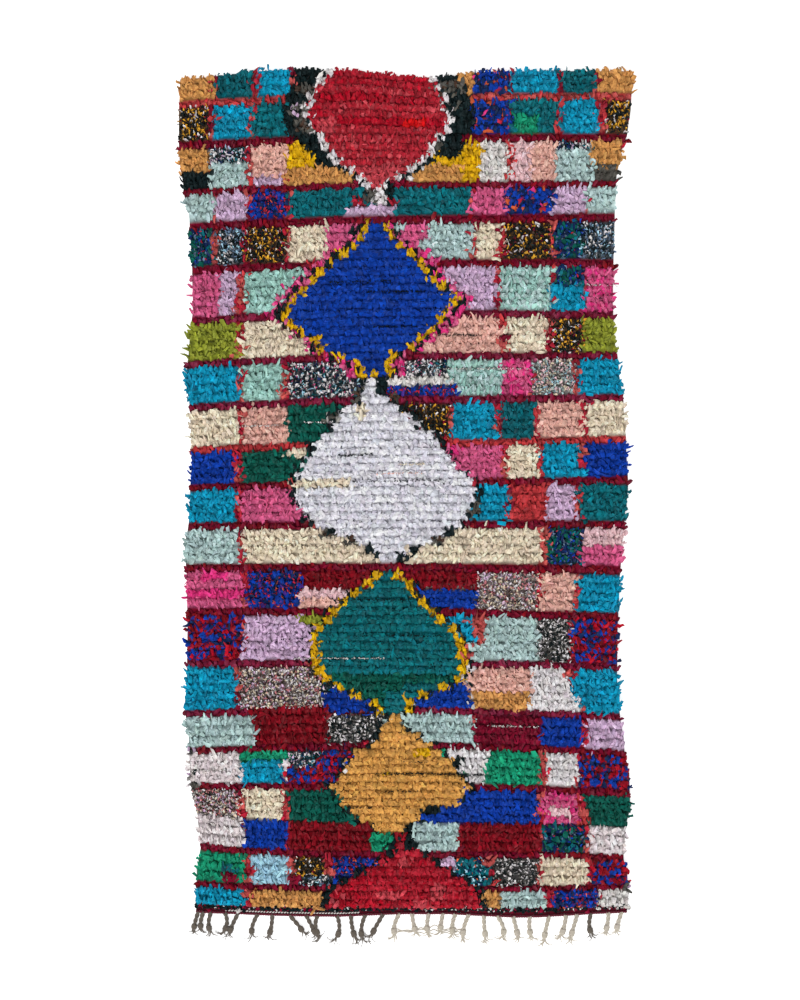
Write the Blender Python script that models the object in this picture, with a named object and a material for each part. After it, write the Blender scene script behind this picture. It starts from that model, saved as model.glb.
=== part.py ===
"""A shaggy rag rug lying flat: a thick pile of cut cloth strips knotted in rows on a woven ground,
a narrow flat-woven band across its near end, and the warp ends beyond it twisted into tassels.

Metres, +Z up. X runs across the rug, +Y towards its far end. The origin is on the floor, under the
middle of the rug with its fringe.
"""

import math

import bmesh
import bpy
from mathutils import Vector, noise

# Overall size, fringe and edge locks included.
OVERALL_WIDTH = 1.396
OVERALL_LENGTH = 2.638

# The pile: knotted rows, and the heights of their crests and of the grooves between them.
PILE_LENGTH = 2.508
ROW_COUNT = 95
CREST_HEIGHT = 0.030
GROOVE_HEIGHT = 0.022
LUMP_HEIGHT = 0.006
LUMP_SIZE = 0.085
RIM_HEIGHT = 0.017
GROUND_HEIGHT = 0.006
SHOULDER = 0.016
FIELD_COLUMNS = 14
END_SPLITS = 3

# The locks of cloth that stick out past the rim: one to a row at the sides, evenly spaced at the far
# edge. They get narrower and sink towards the floor, and none is made beside the flat end.
LOCK_REACH = 0.012
LOCK_REACH_SPREAD = 0.009
LOCK_TAPER = 0.45
LOCK_SINK = 0.6
LOCK_SPACING = 0.024
NEAR_CORNER = 0.04
RIM_WOBBLE = 0.006
RIM_WOBBLE_SIZE = 0.05
TOP_MARGIN = 0.010

# The uneven outline. down: metres from the far edge. left, right: where the sides are across.
OUTLINE = [
    {"down": 0.000, "left": -0.678, "right": 0.686},
    {"down": 0.106, "left": -0.682, "right": 0.678},
    {"down": 0.185, "left": -0.682, "right": 0.668},
    {"down": 0.238, "left": -0.680, "right": 0.650},
    {"down": 0.330, "left": -0.668, "right": 0.634},
    {"down": 0.422, "left": -0.650, "right": 0.630},
    {"down": 0.580, "left": -0.642, "right": 0.626},
    {"down": 0.686, "left": -0.640, "right": 0.624},
    {"down": 0.790, "left": -0.650, "right": 0.628},
    {"down": 0.900, "left": -0.660, "right": 0.642},
    {"down": 1.004, "left": -0.648, "right": 0.656},
    {"down": 1.140, "left": -0.643, "right": 0.664},
    {"down": 1.254, "left": -0.648, "right": 0.670},
    {"down": 1.346, "left": -0.652, "right": 0.660},
    {"down": 1.426, "left": -0.664, "right": 0.652},
    {"down": 1.530, "left": -0.658, "right": 0.644},
    {"down": 1.690, "left": -0.656, "right": 0.638},
    {"down": 1.824, "left": -0.658, "right": 0.637},
    {"down": 1.900, "left": -0.664, "right": 0.644},
    {"down": 2.000, "left": -0.652, "right": 0.658},
    {"down": 2.110, "left": -0.648, "right": 0.674},
    {"down": 2.190, "left": -0.640, "right": 0.676},
    {"down": 2.270, "left": -0.626, "right": 0.662},
    {"down": 2.350, "left": -0.616, "right": 0.656},
    {"down": 2.430, "left": -0.628, "right": 0.668},
    {"down": 2.508, "left": -0.630, "right": 0.668},
]
# How much nearer the viewer a row lies at each side than in its middle.
SAGS = [
    {"down": 0.000, "left": 0.024, "right": 0.000},
    {"down": 0.228, "left": 0.025, "right": 0.000},
    {"down": 0.456, "left": 0.022, "right": -0.008},
    {"down": 0.684, "left": 0.022, "right": 0.008},
    {"down": 0.912, "left": 0.027, "right": -0.003},
    {"down": 1.140, "left": 0.020, "right": -0.016},
    {"down": 1.368, "left": 0.006, "right": 0.000},
    {"down": 1.596, "left": 0.000, "right": 0.016},
    {"down": 1.824, "left": 0.004, "right": 0.014},
    {"down": 2.052, "left": 0.018, "right": 0.026},
    {"down": 2.280, "left": -0.022, "right": 0.014},
    {"down": 2.508, "left": -0.003, "right": -0.006},
]
# The far edge dips in its middle, and the rows below it follow less and less.
DIP_DEPTH = 0.022
DIP_CENTRE = 0.055
DIP_HALF_WIDTH = 0.230
DIP_FADE = 0.300

# The flat-woven end of the cloth, in front of the pile: its width, and what it is like along that.
# down: metres from the pile's near edge. The third line is the crest of a row of twining.
BAND_WIDTH = 0.018
BAND_LINES = [
    {"down": 0.003, "height": 0.0050},
    {"down": 0.005, "height": 0.0040},
    {"down": 0.008, "height": 0.0062},
    {"down": 0.011, "height": 0.0040},
    {"down": BAND_WIDTH, "height": 0.0040},
]

# Between the cloth's end and the fringe, and between the two parts of the fringe.
SEAM_GAP = 0.0003

# The heading strips that carry the tassels, and a tassel's own sizes.
HEADING_WIDTH = 0.006
HEADING_THICKNESS = 0.0045
TASSEL_WIDTH = 0.0085
TASSEL_THICKNESS = 0.0060
# A tassel's sections: where they are along it, how much of its bend and lean they have, and how wide
# and thick it is there. The knot is in the third and fourth.
TASSEL_SECTIONS = [
    {"along": 0.14, "bend": 0.25, "lean": 0.06, "width": 0.85, "thickness": 1.00},
    {"along": 0.42, "bend": 1.00, "lean": 0.36, "width": 0.80, "thickness": 0.95},
    {"along": 0.58, "bend": 0.80, "lean": 0.60, "width": 1.45, "thickness": 1.50},
    {"along": 0.74, "bend": 0.45, "lean": 0.80, "width": 1.30, "thickness": 1.35},
    {"along": 0.84, "bend": 0.25, "lean": 0.90, "width": 0.80, "thickness": 0.80},
    {"along": 1.00, "bend": 0.00, "lean": 1.00, "width": 0.45, "thickness": 0.40},
]
# The tassels. root: across the rug. bend: how far the middle bows sideways. lean: how far the tip
# ends up sideways of the root. reach: how far the tip is from the heading.
DARK_TASSELS = [
    {"root": -0.616, "bend": -0.004, "lean": -0.018, "reach": 0.074},
    {"root": -0.594, "bend": -0.006, "lean": -0.012, "reach": 0.068},
    {"root": -0.574, "bend": -0.008, "lean": -0.004, "reach": 0.078},
    {"root": -0.540, "bend": 0.010, "lean": -0.014, "reach": 0.076},
    {"root": -0.500, "bend": -0.006, "lean": -0.036, "reach": 0.080},
    {"root": -0.438, "bend": -0.010, "lean": -0.022, "reach": 0.082},
    {"root": -0.396, "bend": 0.002, "lean": -0.018, "reach": 0.084},
    {"root": -0.350, "bend": 0.008, "lean": 0.056, "reach": 0.068},
    {"root": -0.300, "bend": 0.004, "lean": 0.026, "reach": 0.078},
    {"root": -0.262, "bend": 0.012, "lean": 0.012, "reach": 0.080},
    {"root": -0.208, "bend": 0.010, "lean": -0.010, "reach": 0.090},
    {"root": -0.166, "bend": -0.002, "lean": 0.018, "reach": 0.092},
    {"root": -0.118, "bend": -0.010, "lean": -0.006, "reach": 0.096},
    {"root": -0.066, "bend": -0.006, "lean": -0.034, "reach": 0.084},
]
PALE_TASSELS = [
    {"root": -0.018, "bend": -0.012, "lean": -0.012, "reach": 0.088},
    {"root": 0.020, "bend": -0.002, "lean": 0.020, "reach": 0.078},
    {"root": 0.070, "bend": -0.004, "lean": -0.004, "reach": 0.076},
    {"root": 0.112, "bend": -0.002, "lean": -0.010, "reach": 0.070},
    {"root": 0.150, "bend": -0.008, "lean": -0.004, "reach": 0.082},
    {"root": 0.190, "bend": -0.008, "lean": -0.020, "reach": 0.090},
    {"root": 0.236, "bend": -0.002, "lean": 0.010, "reach": 0.094},
    {"root": 0.276, "bend": 0.012, "lean": 0.018, "reach": 0.080},
    {"root": 0.324, "bend": 0.002, "lean": 0.020, "reach": 0.080},
    {"root": 0.374, "bend": -0.004, "lean": 0.008, "reach": 0.078},
    {"root": 0.432, "bend": -0.004, "lean": -0.020, "reach": 0.096},
    {"root": 0.482, "bend": 0.002, "lean": -0.022, "reach": 0.082},
    {"root": 0.516, "bend": -0.002, "lean": -0.028, "reach": 0.094},
    {"root": 0.558, "bend": -0.008, "lean": 0.002, "reach": 0.082},
    {"root": 0.610, "bend": 0.002, "lean": -0.014, "reach": 0.076},
    {"root": 0.650, "bend": -0.004, "lean": -0.020, "reach": 0.074},
]
# Between the last dark tassel and the first pale one.
HEADING_SPLIT = -0.042

FAR_EDGE = OVERALL_LENGTH / 2 - TOP_MARGIN


def make_material(name, colour, roughness):
    """A plain cloth finish."""
    material = bpy.data.materials.new(name)
    material.use_nodes = True
    shader = material.node_tree.nodes["Principled BSDF"]
    shader.inputs["Base Color"].default_value = (*colour, 1.0)
    shader.inputs["Roughness"].default_value = roughness
    shader.inputs["Metallic"].default_value = 0.0
    return material


def table_value(table, down, column):
    """One column of a table at a distance from the far edge, eased between the table's rows."""
    for near, far in zip(table, table[1:]):
        if down <= far["down"]:
            share = (down - near["down"]) / (far["down"] - near["down"])
            eased = share * share * (3 - 2 * share)
            return near[column] + (far[column] - near[column]) * eased
    return table[-1][column]


def far_dip(across, down):
    """How far the rows dip in the middle of the far edge."""
    offset = (across - DIP_CENTRE) / DIP_HALF_WIDTH
    if abs(offset) >= 1 or down >= DIP_FADE:
        return 0.0
    return DIP_DEPTH * math.cos(offset * math.pi / 2) ** 2 * (1 - down / DIP_FADE)


def plan(u, v):
    """The place on the floor of a point of the pile: u from the left side, v from the far edge."""
    down = v * PILE_LENGTH
    left = table_value(OUTLINE, down, "left")
    right = table_value(OUTLINE, down, "right")
    across = left + (right - left) * u
    offset = 2 * u - 1
    sag = table_value(SAGS, down, "left" if offset < 0 else "right") * abs(offset) ** 1.5
    return across, FAR_EDGE - down - sag - far_dip(across, down)


def near_edge(across):
    """How far along the rug its near edge is, at a distance across it."""
    left = OUTLINE[-1]["left"]
    right = OUTLINE[-1]["right"]
    return plan((across - left) / (right - left), 1.0)[1]


def lump(x, y, size):
    """A smooth uneven value from -1 to 1."""
    return noise.noise(Vector((x / size, y / size, 0.5)))


def grid_mesh(columns, rows, place):
    """A sheet of columns by rows faces. place gives a vertex's position from its two counts."""
    sheet = bmesh.new()
    bmesh.ops.create_grid(sheet, x_segments=columns, y_segments=rows, size=0.5)
    counted = {}
    for vert in sheet.verts:
        i = round((vert.co.x + 0.5) * columns)
        j = round((0.5 - vert.co.y) * rows)
        counted[vert] = (i, j)
    for vert, (i, j) in counted.items():
        vert.co = place(i, j)
    return sheet


def drop_wall(sheet, height):
    """Extrudes the open edge of the sheet down to a height, or halfway to the floor where it is low,
    and returns the new faces."""
    rim = [edge for edge in sheet.edges if edge.is_boundary]
    made = bmesh.ops.extrude_edge_only(sheet, edges=rim)["geom"]
    for vert in made:
        if isinstance(vert, bmesh.types.BMVert):
            vert.co.z = min(height, vert.co.z / 2)
    return [face for face in made if isinstance(face, bmesh.types.BMFace)]


def close_base(sheet):
    """Fills the open edge with one flat face."""
    rim = [edge for edge in sheet.edges if edge.is_boundary]
    bmesh.ops.contextual_create(sheet, geom=rim)


def finish(sheet, name, material):
    """Makes the object of a closed sheet."""
    bmesh.ops.recalc_face_normals(sheet, faces=sheet.faces)
    mesh = bpy.data.meshes.new(name)
    sheet.to_mesh(mesh)
    sheet.free()
    mesh.materials.append(material)
    made = bpy.data.objects.new(name, mesh)
    bpy.context.scene.collection.objects.link(made)
    return made


def cloth_surface():
    """The upper face of the cloth. Its pile has a crest for each knotted row, is lumpy and falls away
    at the sides, and the flat-woven end lies in front of it."""
    columns = FIELD_COLUMNS + 2
    lines = 2 * ROW_COUNT

    def place(i, j):
        shoulder = SHOULDER / (OUTLINE[0]["right"] - OUTLINE[0]["left"])
        u = (i - 1) / FIELD_COLUMNS * (1 - 2 * shoulder) + shoulder
        u = min(max(u, 0.0), 1.0)
        x, y = plan(u, min(j / lines, 1.0))
        if j > lines:
            line = BAND_LINES[j - lines - 1]
            return Vector((x, y - line["down"], line["height"]))
        if i in (0, columns) or j in (0, lines):
            return Vector((x, y, RIM_HEIGHT))
        height = CREST_HEIGHT if j % 2 else GROOVE_HEIGHT
        height += LUMP_HEIGHT * lump(x, y, LUMP_SIZE)
        return Vector((x, y, height))

    return grid_mesh(columns, lines + len(BAND_LINES), place)


def split_end_edges(sheet):
    """More points along the far and near edges, so that the far one can carry locks."""
    ends = []
    for edge in sheet.edges:
        along = edge.verts[1].co - edge.verts[0].co
        if edge.is_boundary and abs(along.x) > abs(along.y):
            ends.append(edge)
    bmesh.ops.bisect_edges(sheet, edges=ends, cuts=END_SPLITS)


def wobble_rim(sheet, near_limit):
    """Makes the sides and the far edge a little uneven. The near edge stays as it is."""
    for vert in sheet.verts:
        if vert.is_boundary and vert.co.y > near_limit:
            vert.co.x += RIM_WOBBLE * lump(vert.co.x, vert.co.y, RIM_WOBBLE_SIZE)
            vert.co.y += RIM_WOBBLE * lump(vert.co.y, vert.co.x, RIM_WOBBLE_SIZE)


def outward_normal(face):
    """The level direction in which a wall's face looks, away from the middle of the rug."""
    alongs = [edge.verts[1].co - edge.verts[0].co for edge in face.edges]
    along = max(alongs, key=lambda each: math.hypot(each.x, each.y))
    normal = Vector((along.y, -along.x, 0)).normalized()
    return normal if normal.dot(face.calc_center_median()) > 0 else -normal


def pull_locks(sheet, wall, near_limit):
    """Pulls every second face of the wall out into a lock of cloth, down to the floor."""
    half_row = PILE_LENGTH / (2 * ROW_COUNT)
    chosen = []
    for face in wall:
        centre = face.calc_center_median()
        normal = outward_normal(face)
        if abs(normal.x) > abs(normal.y):
            place = round((FAR_EDGE - centre.y) / half_row)
        else:
            place = round(centre.x / LOCK_SPACING)
        if place % 2 and centre.y > near_limit:
            chosen.append(face)
    for tip in bmesh.ops.extrude_discrete_faces(sheet, faces=chosen)["faces"]:
        centre = tip.calc_center_median()
        share = 0.5 + 0.5 * lump(centre.x, centre.y, LOCK_REACH)
        reach = outward_normal(tip) * (LOCK_REACH + LOCK_REACH_SPREAD * share)
        for vert in tip.verts:
            vert.co = centre + (vert.co - centre) * LOCK_TAPER + reach
            vert.co.z -= centre.z * LOCK_SINK
            vert.co.x = min(max(vert.co.x, -OVERALL_WIDTH / 2), OVERALL_WIDTH / 2)
            vert.co.y = min(vert.co.y, OVERALL_LENGTH / 2)


def make_rug(material):
    """The knotted rug itself. Its pile, ground and flat end are one cloth, so they are one solid."""
    sheet = cloth_surface()
    split_end_edges(sheet)
    near_limit = near_edge(0) + NEAR_CORNER
    wobble_rim(sheet, near_limit)
    wall = drop_wall(sheet, GROUND_HEIGHT)
    drop_wall(sheet, 0.0)
    close_base(sheet)
    pull_locks(sheet, wall, near_limit)
    return finish(sheet, "pile_rug", material)


def tassel_section(root, section, tassel):
    """The four corners of a tassel's section, which rests on the floor."""
    x = root.x + tassel["bend"] * section["bend"] + tassel["lean"] * section["lean"]
    y = root.y - tassel["reach"] * section["along"]
    half = TASSEL_WIDTH * section["width"] / 2
    top = TASSEL_THICKNESS * section["thickness"]
    places = [(x - half, 0), (x + half, 0), (x + half, top), (x - half, top)]
    return [Vector((across, y, height)) for across, height in places]


def draw_out_tassel(sheet, face, tassel):
    """Extrudes a face of the heading section by section into a tassel."""
    root = face.calc_center_median()
    for section in TASSEL_SECTIONS:
        face = bmesh.ops.extrude_discrete_faces(sheet, faces=[face])["faces"][0]
        centre = face.calc_center_median()
        corners = tassel_section(root, section, tassel)
        for vert in face.verts:
            right = vert.co.x > centre.x
            upper = vert.co.z > centre.z
            vert.co = corners[(2 if upper else 1) if right else (3 if upper else 0)]


def make_fringe(name, tassels, left, right, material):
    """A heading strip parted from the cloth's end, with its tassels fused to it."""
    lines = [left]
    for tassel in tassels:
        lines += [tassel["root"] - TASSEL_WIDTH / 2, tassel["root"] + TASSEL_WIDTH / 2]
    lines.append(right)

    def place(i, j):
        x = lines[i]
        y = near_edge(x) - BAND_WIDTH - SEAM_GAP - j * HEADING_WIDTH
        return Vector((x, y, HEADING_THICKNESS))

    sheet = grid_mesh(len(lines) - 1, 1, place)
    wall = drop_wall(sheet, 0.0)
    close_base(sheet)
    roots = []
    for tassel in tassels:
        for face in wall:
            centre = face.calc_center_median()
            outer = centre.y < near_edge(centre.x) - BAND_WIDTH - HEADING_WIDTH / 2
            if outer and abs(centre.x - tassel["root"]) < TASSEL_WIDTH / 4:
                roots.append((face, tassel))
    for face, tassel in roots:
        draw_out_tassel(sheet, face, tassel)
    return finish(sheet, name, material)


def main():
    for old in list(bpy.data.objects):
        bpy.data.objects.remove(old)
    pile_cloth = make_material("pile_cloth", (0.42, 0.10, 0.16), 0.9)
    dark_warp = make_material("dark_warp", (0.17, 0.15, 0.13), 0.9)
    pale_warp = make_material("pale_warp", (0.66, 0.62, 0.55), 0.9)
    make_rug(pile_cloth)
    left = OUTLINE[-1]["left"]
    right = OUTLINE[-1]["right"]
    make_fringe("fringe_dark", DARK_TASSELS, left, HEADING_SPLIT - SEAM_GAP / 2, dark_warp)
    make_fringe("fringe_pale", PALE_TASSELS, HEADING_SPLIT + SEAM_GAP / 2, right, pale_warp)


main()
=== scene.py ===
import math
import random

import bpy
import numpy as np
from mathutils import Matrix, Vector


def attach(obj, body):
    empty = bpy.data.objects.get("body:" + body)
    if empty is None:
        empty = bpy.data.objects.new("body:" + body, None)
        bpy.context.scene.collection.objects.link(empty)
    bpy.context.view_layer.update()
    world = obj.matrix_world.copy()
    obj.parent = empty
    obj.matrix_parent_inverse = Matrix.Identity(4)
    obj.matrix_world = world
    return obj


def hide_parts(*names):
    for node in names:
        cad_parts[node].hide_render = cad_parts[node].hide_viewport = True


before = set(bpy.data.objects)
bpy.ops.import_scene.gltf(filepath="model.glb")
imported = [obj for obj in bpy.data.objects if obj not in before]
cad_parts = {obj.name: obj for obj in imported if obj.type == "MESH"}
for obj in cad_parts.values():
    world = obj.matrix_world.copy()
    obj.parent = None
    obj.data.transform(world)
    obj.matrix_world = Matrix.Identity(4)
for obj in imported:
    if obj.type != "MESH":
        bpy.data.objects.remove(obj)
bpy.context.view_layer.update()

print("frame loaded")

# The rug lies on the floor, X across it and +Y towards its far edge. Lengths are in metres; the chart
# of the pile is in millimetres across and in rows down from the far edge.
plan = {"farEdge": 1.309, "pileLength": 2.508, "rows": 95.0,
        "dip": (0.022, 0.055, 0.230, 0.300),  # of the far edge: depth, centre, half width, where it ends
        "rise": (0.014, -0.370, 0.290, 0.066),  # the same, where the far edge stands out
        "sagPower": 1.5, "endPower": 1.5, "endFrom": 2.1, "endOver": 0.2,  # the bend of the rows at their ends
        "bandWidth": 0.018, "headingWidth": 0.006, "seamGap": 0.0003}
rowPitch = plan["pileLength"] / plan["rows"]

outline = np.array([  # down, left, right
    (0.000, -0.678, 0.686), (0.106, -0.682, 0.678), (0.185, -0.682, 0.668), (0.238, -0.680, 0.650),
    (0.330, -0.668, 0.634), (0.422, -0.650, 0.630), (0.580, -0.642, 0.626), (0.686, -0.640, 0.624),
    (0.790, -0.650, 0.628), (0.900, -0.660, 0.642), (1.004, -0.648, 0.656), (1.140, -0.643, 0.664),
    (1.254, -0.648, 0.670), (1.346, -0.652, 0.660), (1.426, -0.664, 0.652), (1.530, -0.658, 0.644),
    (1.690, -0.656, 0.638), (1.824, -0.658, 0.637), (1.900, -0.664, 0.644), (2.000, -0.652, 0.658),
    (2.110, -0.648, 0.674), (2.190, -0.640, 0.676), (2.270, -0.626, 0.662), (2.350, -0.616, 0.656),
    (2.430, -0.628, 0.668), (2.508, -0.630, 0.668)])
sags = np.array([  # how much nearer the viewer a row lies at its two ends than in its middle
    (0.000, 0.024, 0.000), (0.228, 0.025, 0.000), (0.456, 0.022, -0.008), (0.684, 0.022, 0.008),
    (0.912, 0.027, -0.003), (1.140, 0.020, -0.016), (1.368, 0.006, 0.000), (1.596, 0.000, 0.016),
    (1.824, 0.004, 0.014), (2.052, 0.018, 0.026), (2.280, -0.028, 0.014), (2.508, -0.014, -0.008)])
endDepth = np.array([  # across, how far the flat-woven end reaches past the pile
    (-0.640, 0.030), (-0.500, 0.028), (-0.400, 0.029), (-0.200, 0.029), (-0.020, 0.021), (0.130, 0.021),
    (0.330, 0.032), (0.400, 0.032), (0.570, 0.025), (0.680, 0.024)])


def tableValue(table, down, column):
    down = np.clip(np.asarray(down, float), table[0, 0], table[-1, 0])
    at = np.clip(np.searchsorted(table[:, 0], down, side="right") - 1, 0, len(table) - 2)
    share = (down - table[at, 0]) / (table[at + 1, 0] - table[at, 0])
    eased = share * share * (3 - 2 * share)
    return table[at, column] + (table[at + 1, column] - table[at, column]) * eased


def edgesAt(row):
    down = np.asarray(row, float) * rowPitch
    return tableValue(outline, down, 1), tableValue(outline, down, 2)


def bulgeAt(across, down, height, centre, half, ending):
    # how far the rows swell or sink around a place at the far edge
    high = height * np.cos(np.clip((across - centre) / half, -1, 1) * math.pi / 2) ** 2
    return high * np.clip(1 - down / ending, 0, 1)


def rowToY(across, row):
    # how far along the rug a place in a row is; the rows sag at their ends and dip in their middle
    down = np.asarray(row, float) * rowPitch
    left, right = edgesAt(row)
    offset = 2 * (across - left) / (right - left) - 1
    sag = np.where(offset < 0, tableValue(sags, down, 1), tableValue(sags, down, 2))
    dip = bulgeAt(across, down, *plan["dip"]) - bulgeAt(across, down, *plan["rise"])
    power = plan["sagPower"] + plan["endPower"] * np.clip((down - plan["endFrom"]) / plan["endOver"], 0, 1)
    return plan["farEdge"] - down - sag * np.abs(offset) ** power - dip


def nearEdge(across):
    return rowToY(np.asarray(across, float), plan["rows"])


def bandAt(across):
    # how far the flat-woven end reaches past the pile
    return np.interp(across, endDepth[:, 0], endDepth[:, 1])


def endOf(across):
    # where the flat-woven end stops and the fringe starts
    return nearEdge(across) - bandAt(across)


# The dyed cloths, as they look in daylight, 0 to 255.
cloths = {
    "sky": (0, 150, 186), "deepTeal": (0, 98, 109), "teal": (0, 108, 119), "ochre": (210, 150, 84),
    "crimson": (176, 30, 52), "coral": (196, 84, 80), "maroon": (124, 0, 40), "dustyMaroon": (132, 30, 62),
    "gold": (222, 162, 44),
    "royal": (0, 58, 162), "blue": (0, 58, 158), "white": (229, 223, 224), "cream": (235, 218, 193),
    "peach": (230, 177, 163), "pink": (212, 92, 137), "hotPink": (226, 52, 128), "lilac": (207, 176, 206),
    "paleAqua": (180, 204, 202), "mint": (160, 202, 192), "lime": (145, 152, 48), "darkGreen": (0, 89, 76),
    "green": (20, 147, 109), "yellow": (220, 170, 0), "black": (10, 26, 28), "charcoal": (84, 81, 75),
    "redDeep": (176, 6, 34), "redFaded": (196, 68, 78), "redMid": (175, 30, 47), "redBright": (226, 10, 16),
    "redDusty": (175, 35, 49),
    "lightBlue": (166, 209, 228), "palePink": (234, 194, 198), "navy": (16, 38, 84), "orange": (214, 92, 52),
    "brown": (74, 52, 40), "grey": (160, 156, 152), "beige": (224, 206, 180), "rose": (206, 130, 134),
    "pinkWhite": (231, 219, 220), "greyWhite": (222, 217, 213), "fieldWhite": (227, 225, 234),
    "fieldTeal": (0, 105, 111), "fieldOchre": (217, 159, 81), "slate": (100, 122, 148),
    "darkRed": (130, 0, 24), "coralRed": (190, 56, 60), "purple": (70, 40, 130)}

# Mixed yarns: the cloths that show in each, with their shares.
mixes = {
    "ochreYarn": {"black": 7, "gold": 3, "white": 1.1, "maroon": 1, "brown": 1},
    "brownYarn": {"black": 7, "brown": 3, "gold": 2.4, "white": 0.7, "maroon": 1},
    "greyYarn": {"grey": 5, "paleAqua": 4, "palePink": 3.6, "beige": 2, "lightBlue": 1.2, "charcoal": 0.5},
    "beigeYarn": {"beige": 3, "white": 3, "grey": 3, "brown": 1.1, "rose": 2, "lilac": 1.6},
    "navySpeckle": {"navy": 2, "black": 4, "deepTeal": 3, "white": 4, "lilac": 1, "lightBlue": 1},
    "greySpeckle": {"slate": 4, "black": 6, "white": 2.6, "lightBlue": 1.6},
    "pinkSpeckle": {"navy": 2, "black": 5, "white": 5, "pink": 1, "deepTeal": 2, "lightBlue": 1.4},
    "blackWhite": {"black": 5, "white": 3.6, "grey": 2, "charcoal": 2},
    "redBlue": {"redDeep": 4, "darkRed": 4, "royal": 5, "navy": 2},
    "navyMulti": {"royal": 11, "navy": 6, "orange": 1.5, "crimson": 1.2, "hotPink": 0.8},
    "darkMulti": {"navy": 6, "darkGreen": 3, "deepTeal": 3},
    "greenMulti": {"navy": 4, "darkGreen": 4, "deepTeal": 1},
    "royalMulti": {"royal": 6, "navy": 2, "purple": 1},
    "tealMulti": {"teal": 6, "navy": 2},
    "greys": {"grey": 3, "lilac": 1, "charcoal": 3, "black": 1},
    "maroons": {"maroon": 10, "darkRed": 3},
    "dustyMaroons": {"dustyMaroon": 6, "maroon": 5},
    "corals": {"coral": 4, "coralRed": 4},
    "charcoals": {"charcoal": 5, "black": 2, "brown": 2},
    "pinks": {"pink": 5, "hotPink": 2},
    "mints": {"paleAqua": 3, "mint": 4},
    "separator": {"crimson": 5, "coral": 4, "maroon": 2, "coralRed": 2},
    "redField": {"redDeep": 4, "redMid": 7},
    "redDusties": {"redDusty": 6, "redMid": 2, "redFaded": 2},
    "greenTeal": {"fieldTeal": 6, "teal": 2},
    "hotPinks": {"pink": 4, "hotPink": 3}}
# the mixes that are knotted of narrow cut yarn
thinYarns = ["ochreYarn", "brownYarn", "greyYarn", "beigeYarn", "navySpeckle", "greySpeckle", "pinkSpeckle",
             "blackWhite"]
# thin ends of other yarns that lie over the cloth of a mix
curls = {
    "darkMulti": {"royal": 2, "slate": 2, "crimson": 1}, "greenMulti": {"crimson": 1, "royal": 3, "slate": 3},
    "royalMulti": {"crimson": 4, "orange": 1, "maroon": 3}, "tealMulti": {"lightBlue": 2, "orange": 1}}

far, near = -900, 900  # past the left and the right edge

# The rows, from the far edge: where a band starts and how many rows of knots it has. A band of one
# row is a smooth dark divider.
bandStarts = [
    (-0.2, 3), (2.4, 1), (3.4, 4), (7.0, 1), (8.1, 5), (12.6, 1), (13.4, 3), (16.3, 1), (17.4, 4),
    (21.3, 1), (22.35, 5), (27.0, 1), (28.0, 4), (32.0, 1), (32.85, 4), (36.85, 1), (37.85, 4),
    (41.95, 1), (42.85, 4), (46.4, 1), (47.3, 4), (51.1, 1), (52.05, 4), (55.85, 1), (56.9, 4),
    (61.0, 1), (61.95, 5), (66.85, 1), (67.75, 5), (72.4, 1), (73.1, 3), (76.3, 1), (77.1, 4),
    (80.9, 1), (81.9, 4), (85.5, 3), (88.8, 1), (89.5, 3), (92.7, 1), (93.4, 2)]
rowsEnd = 95.3

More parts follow.
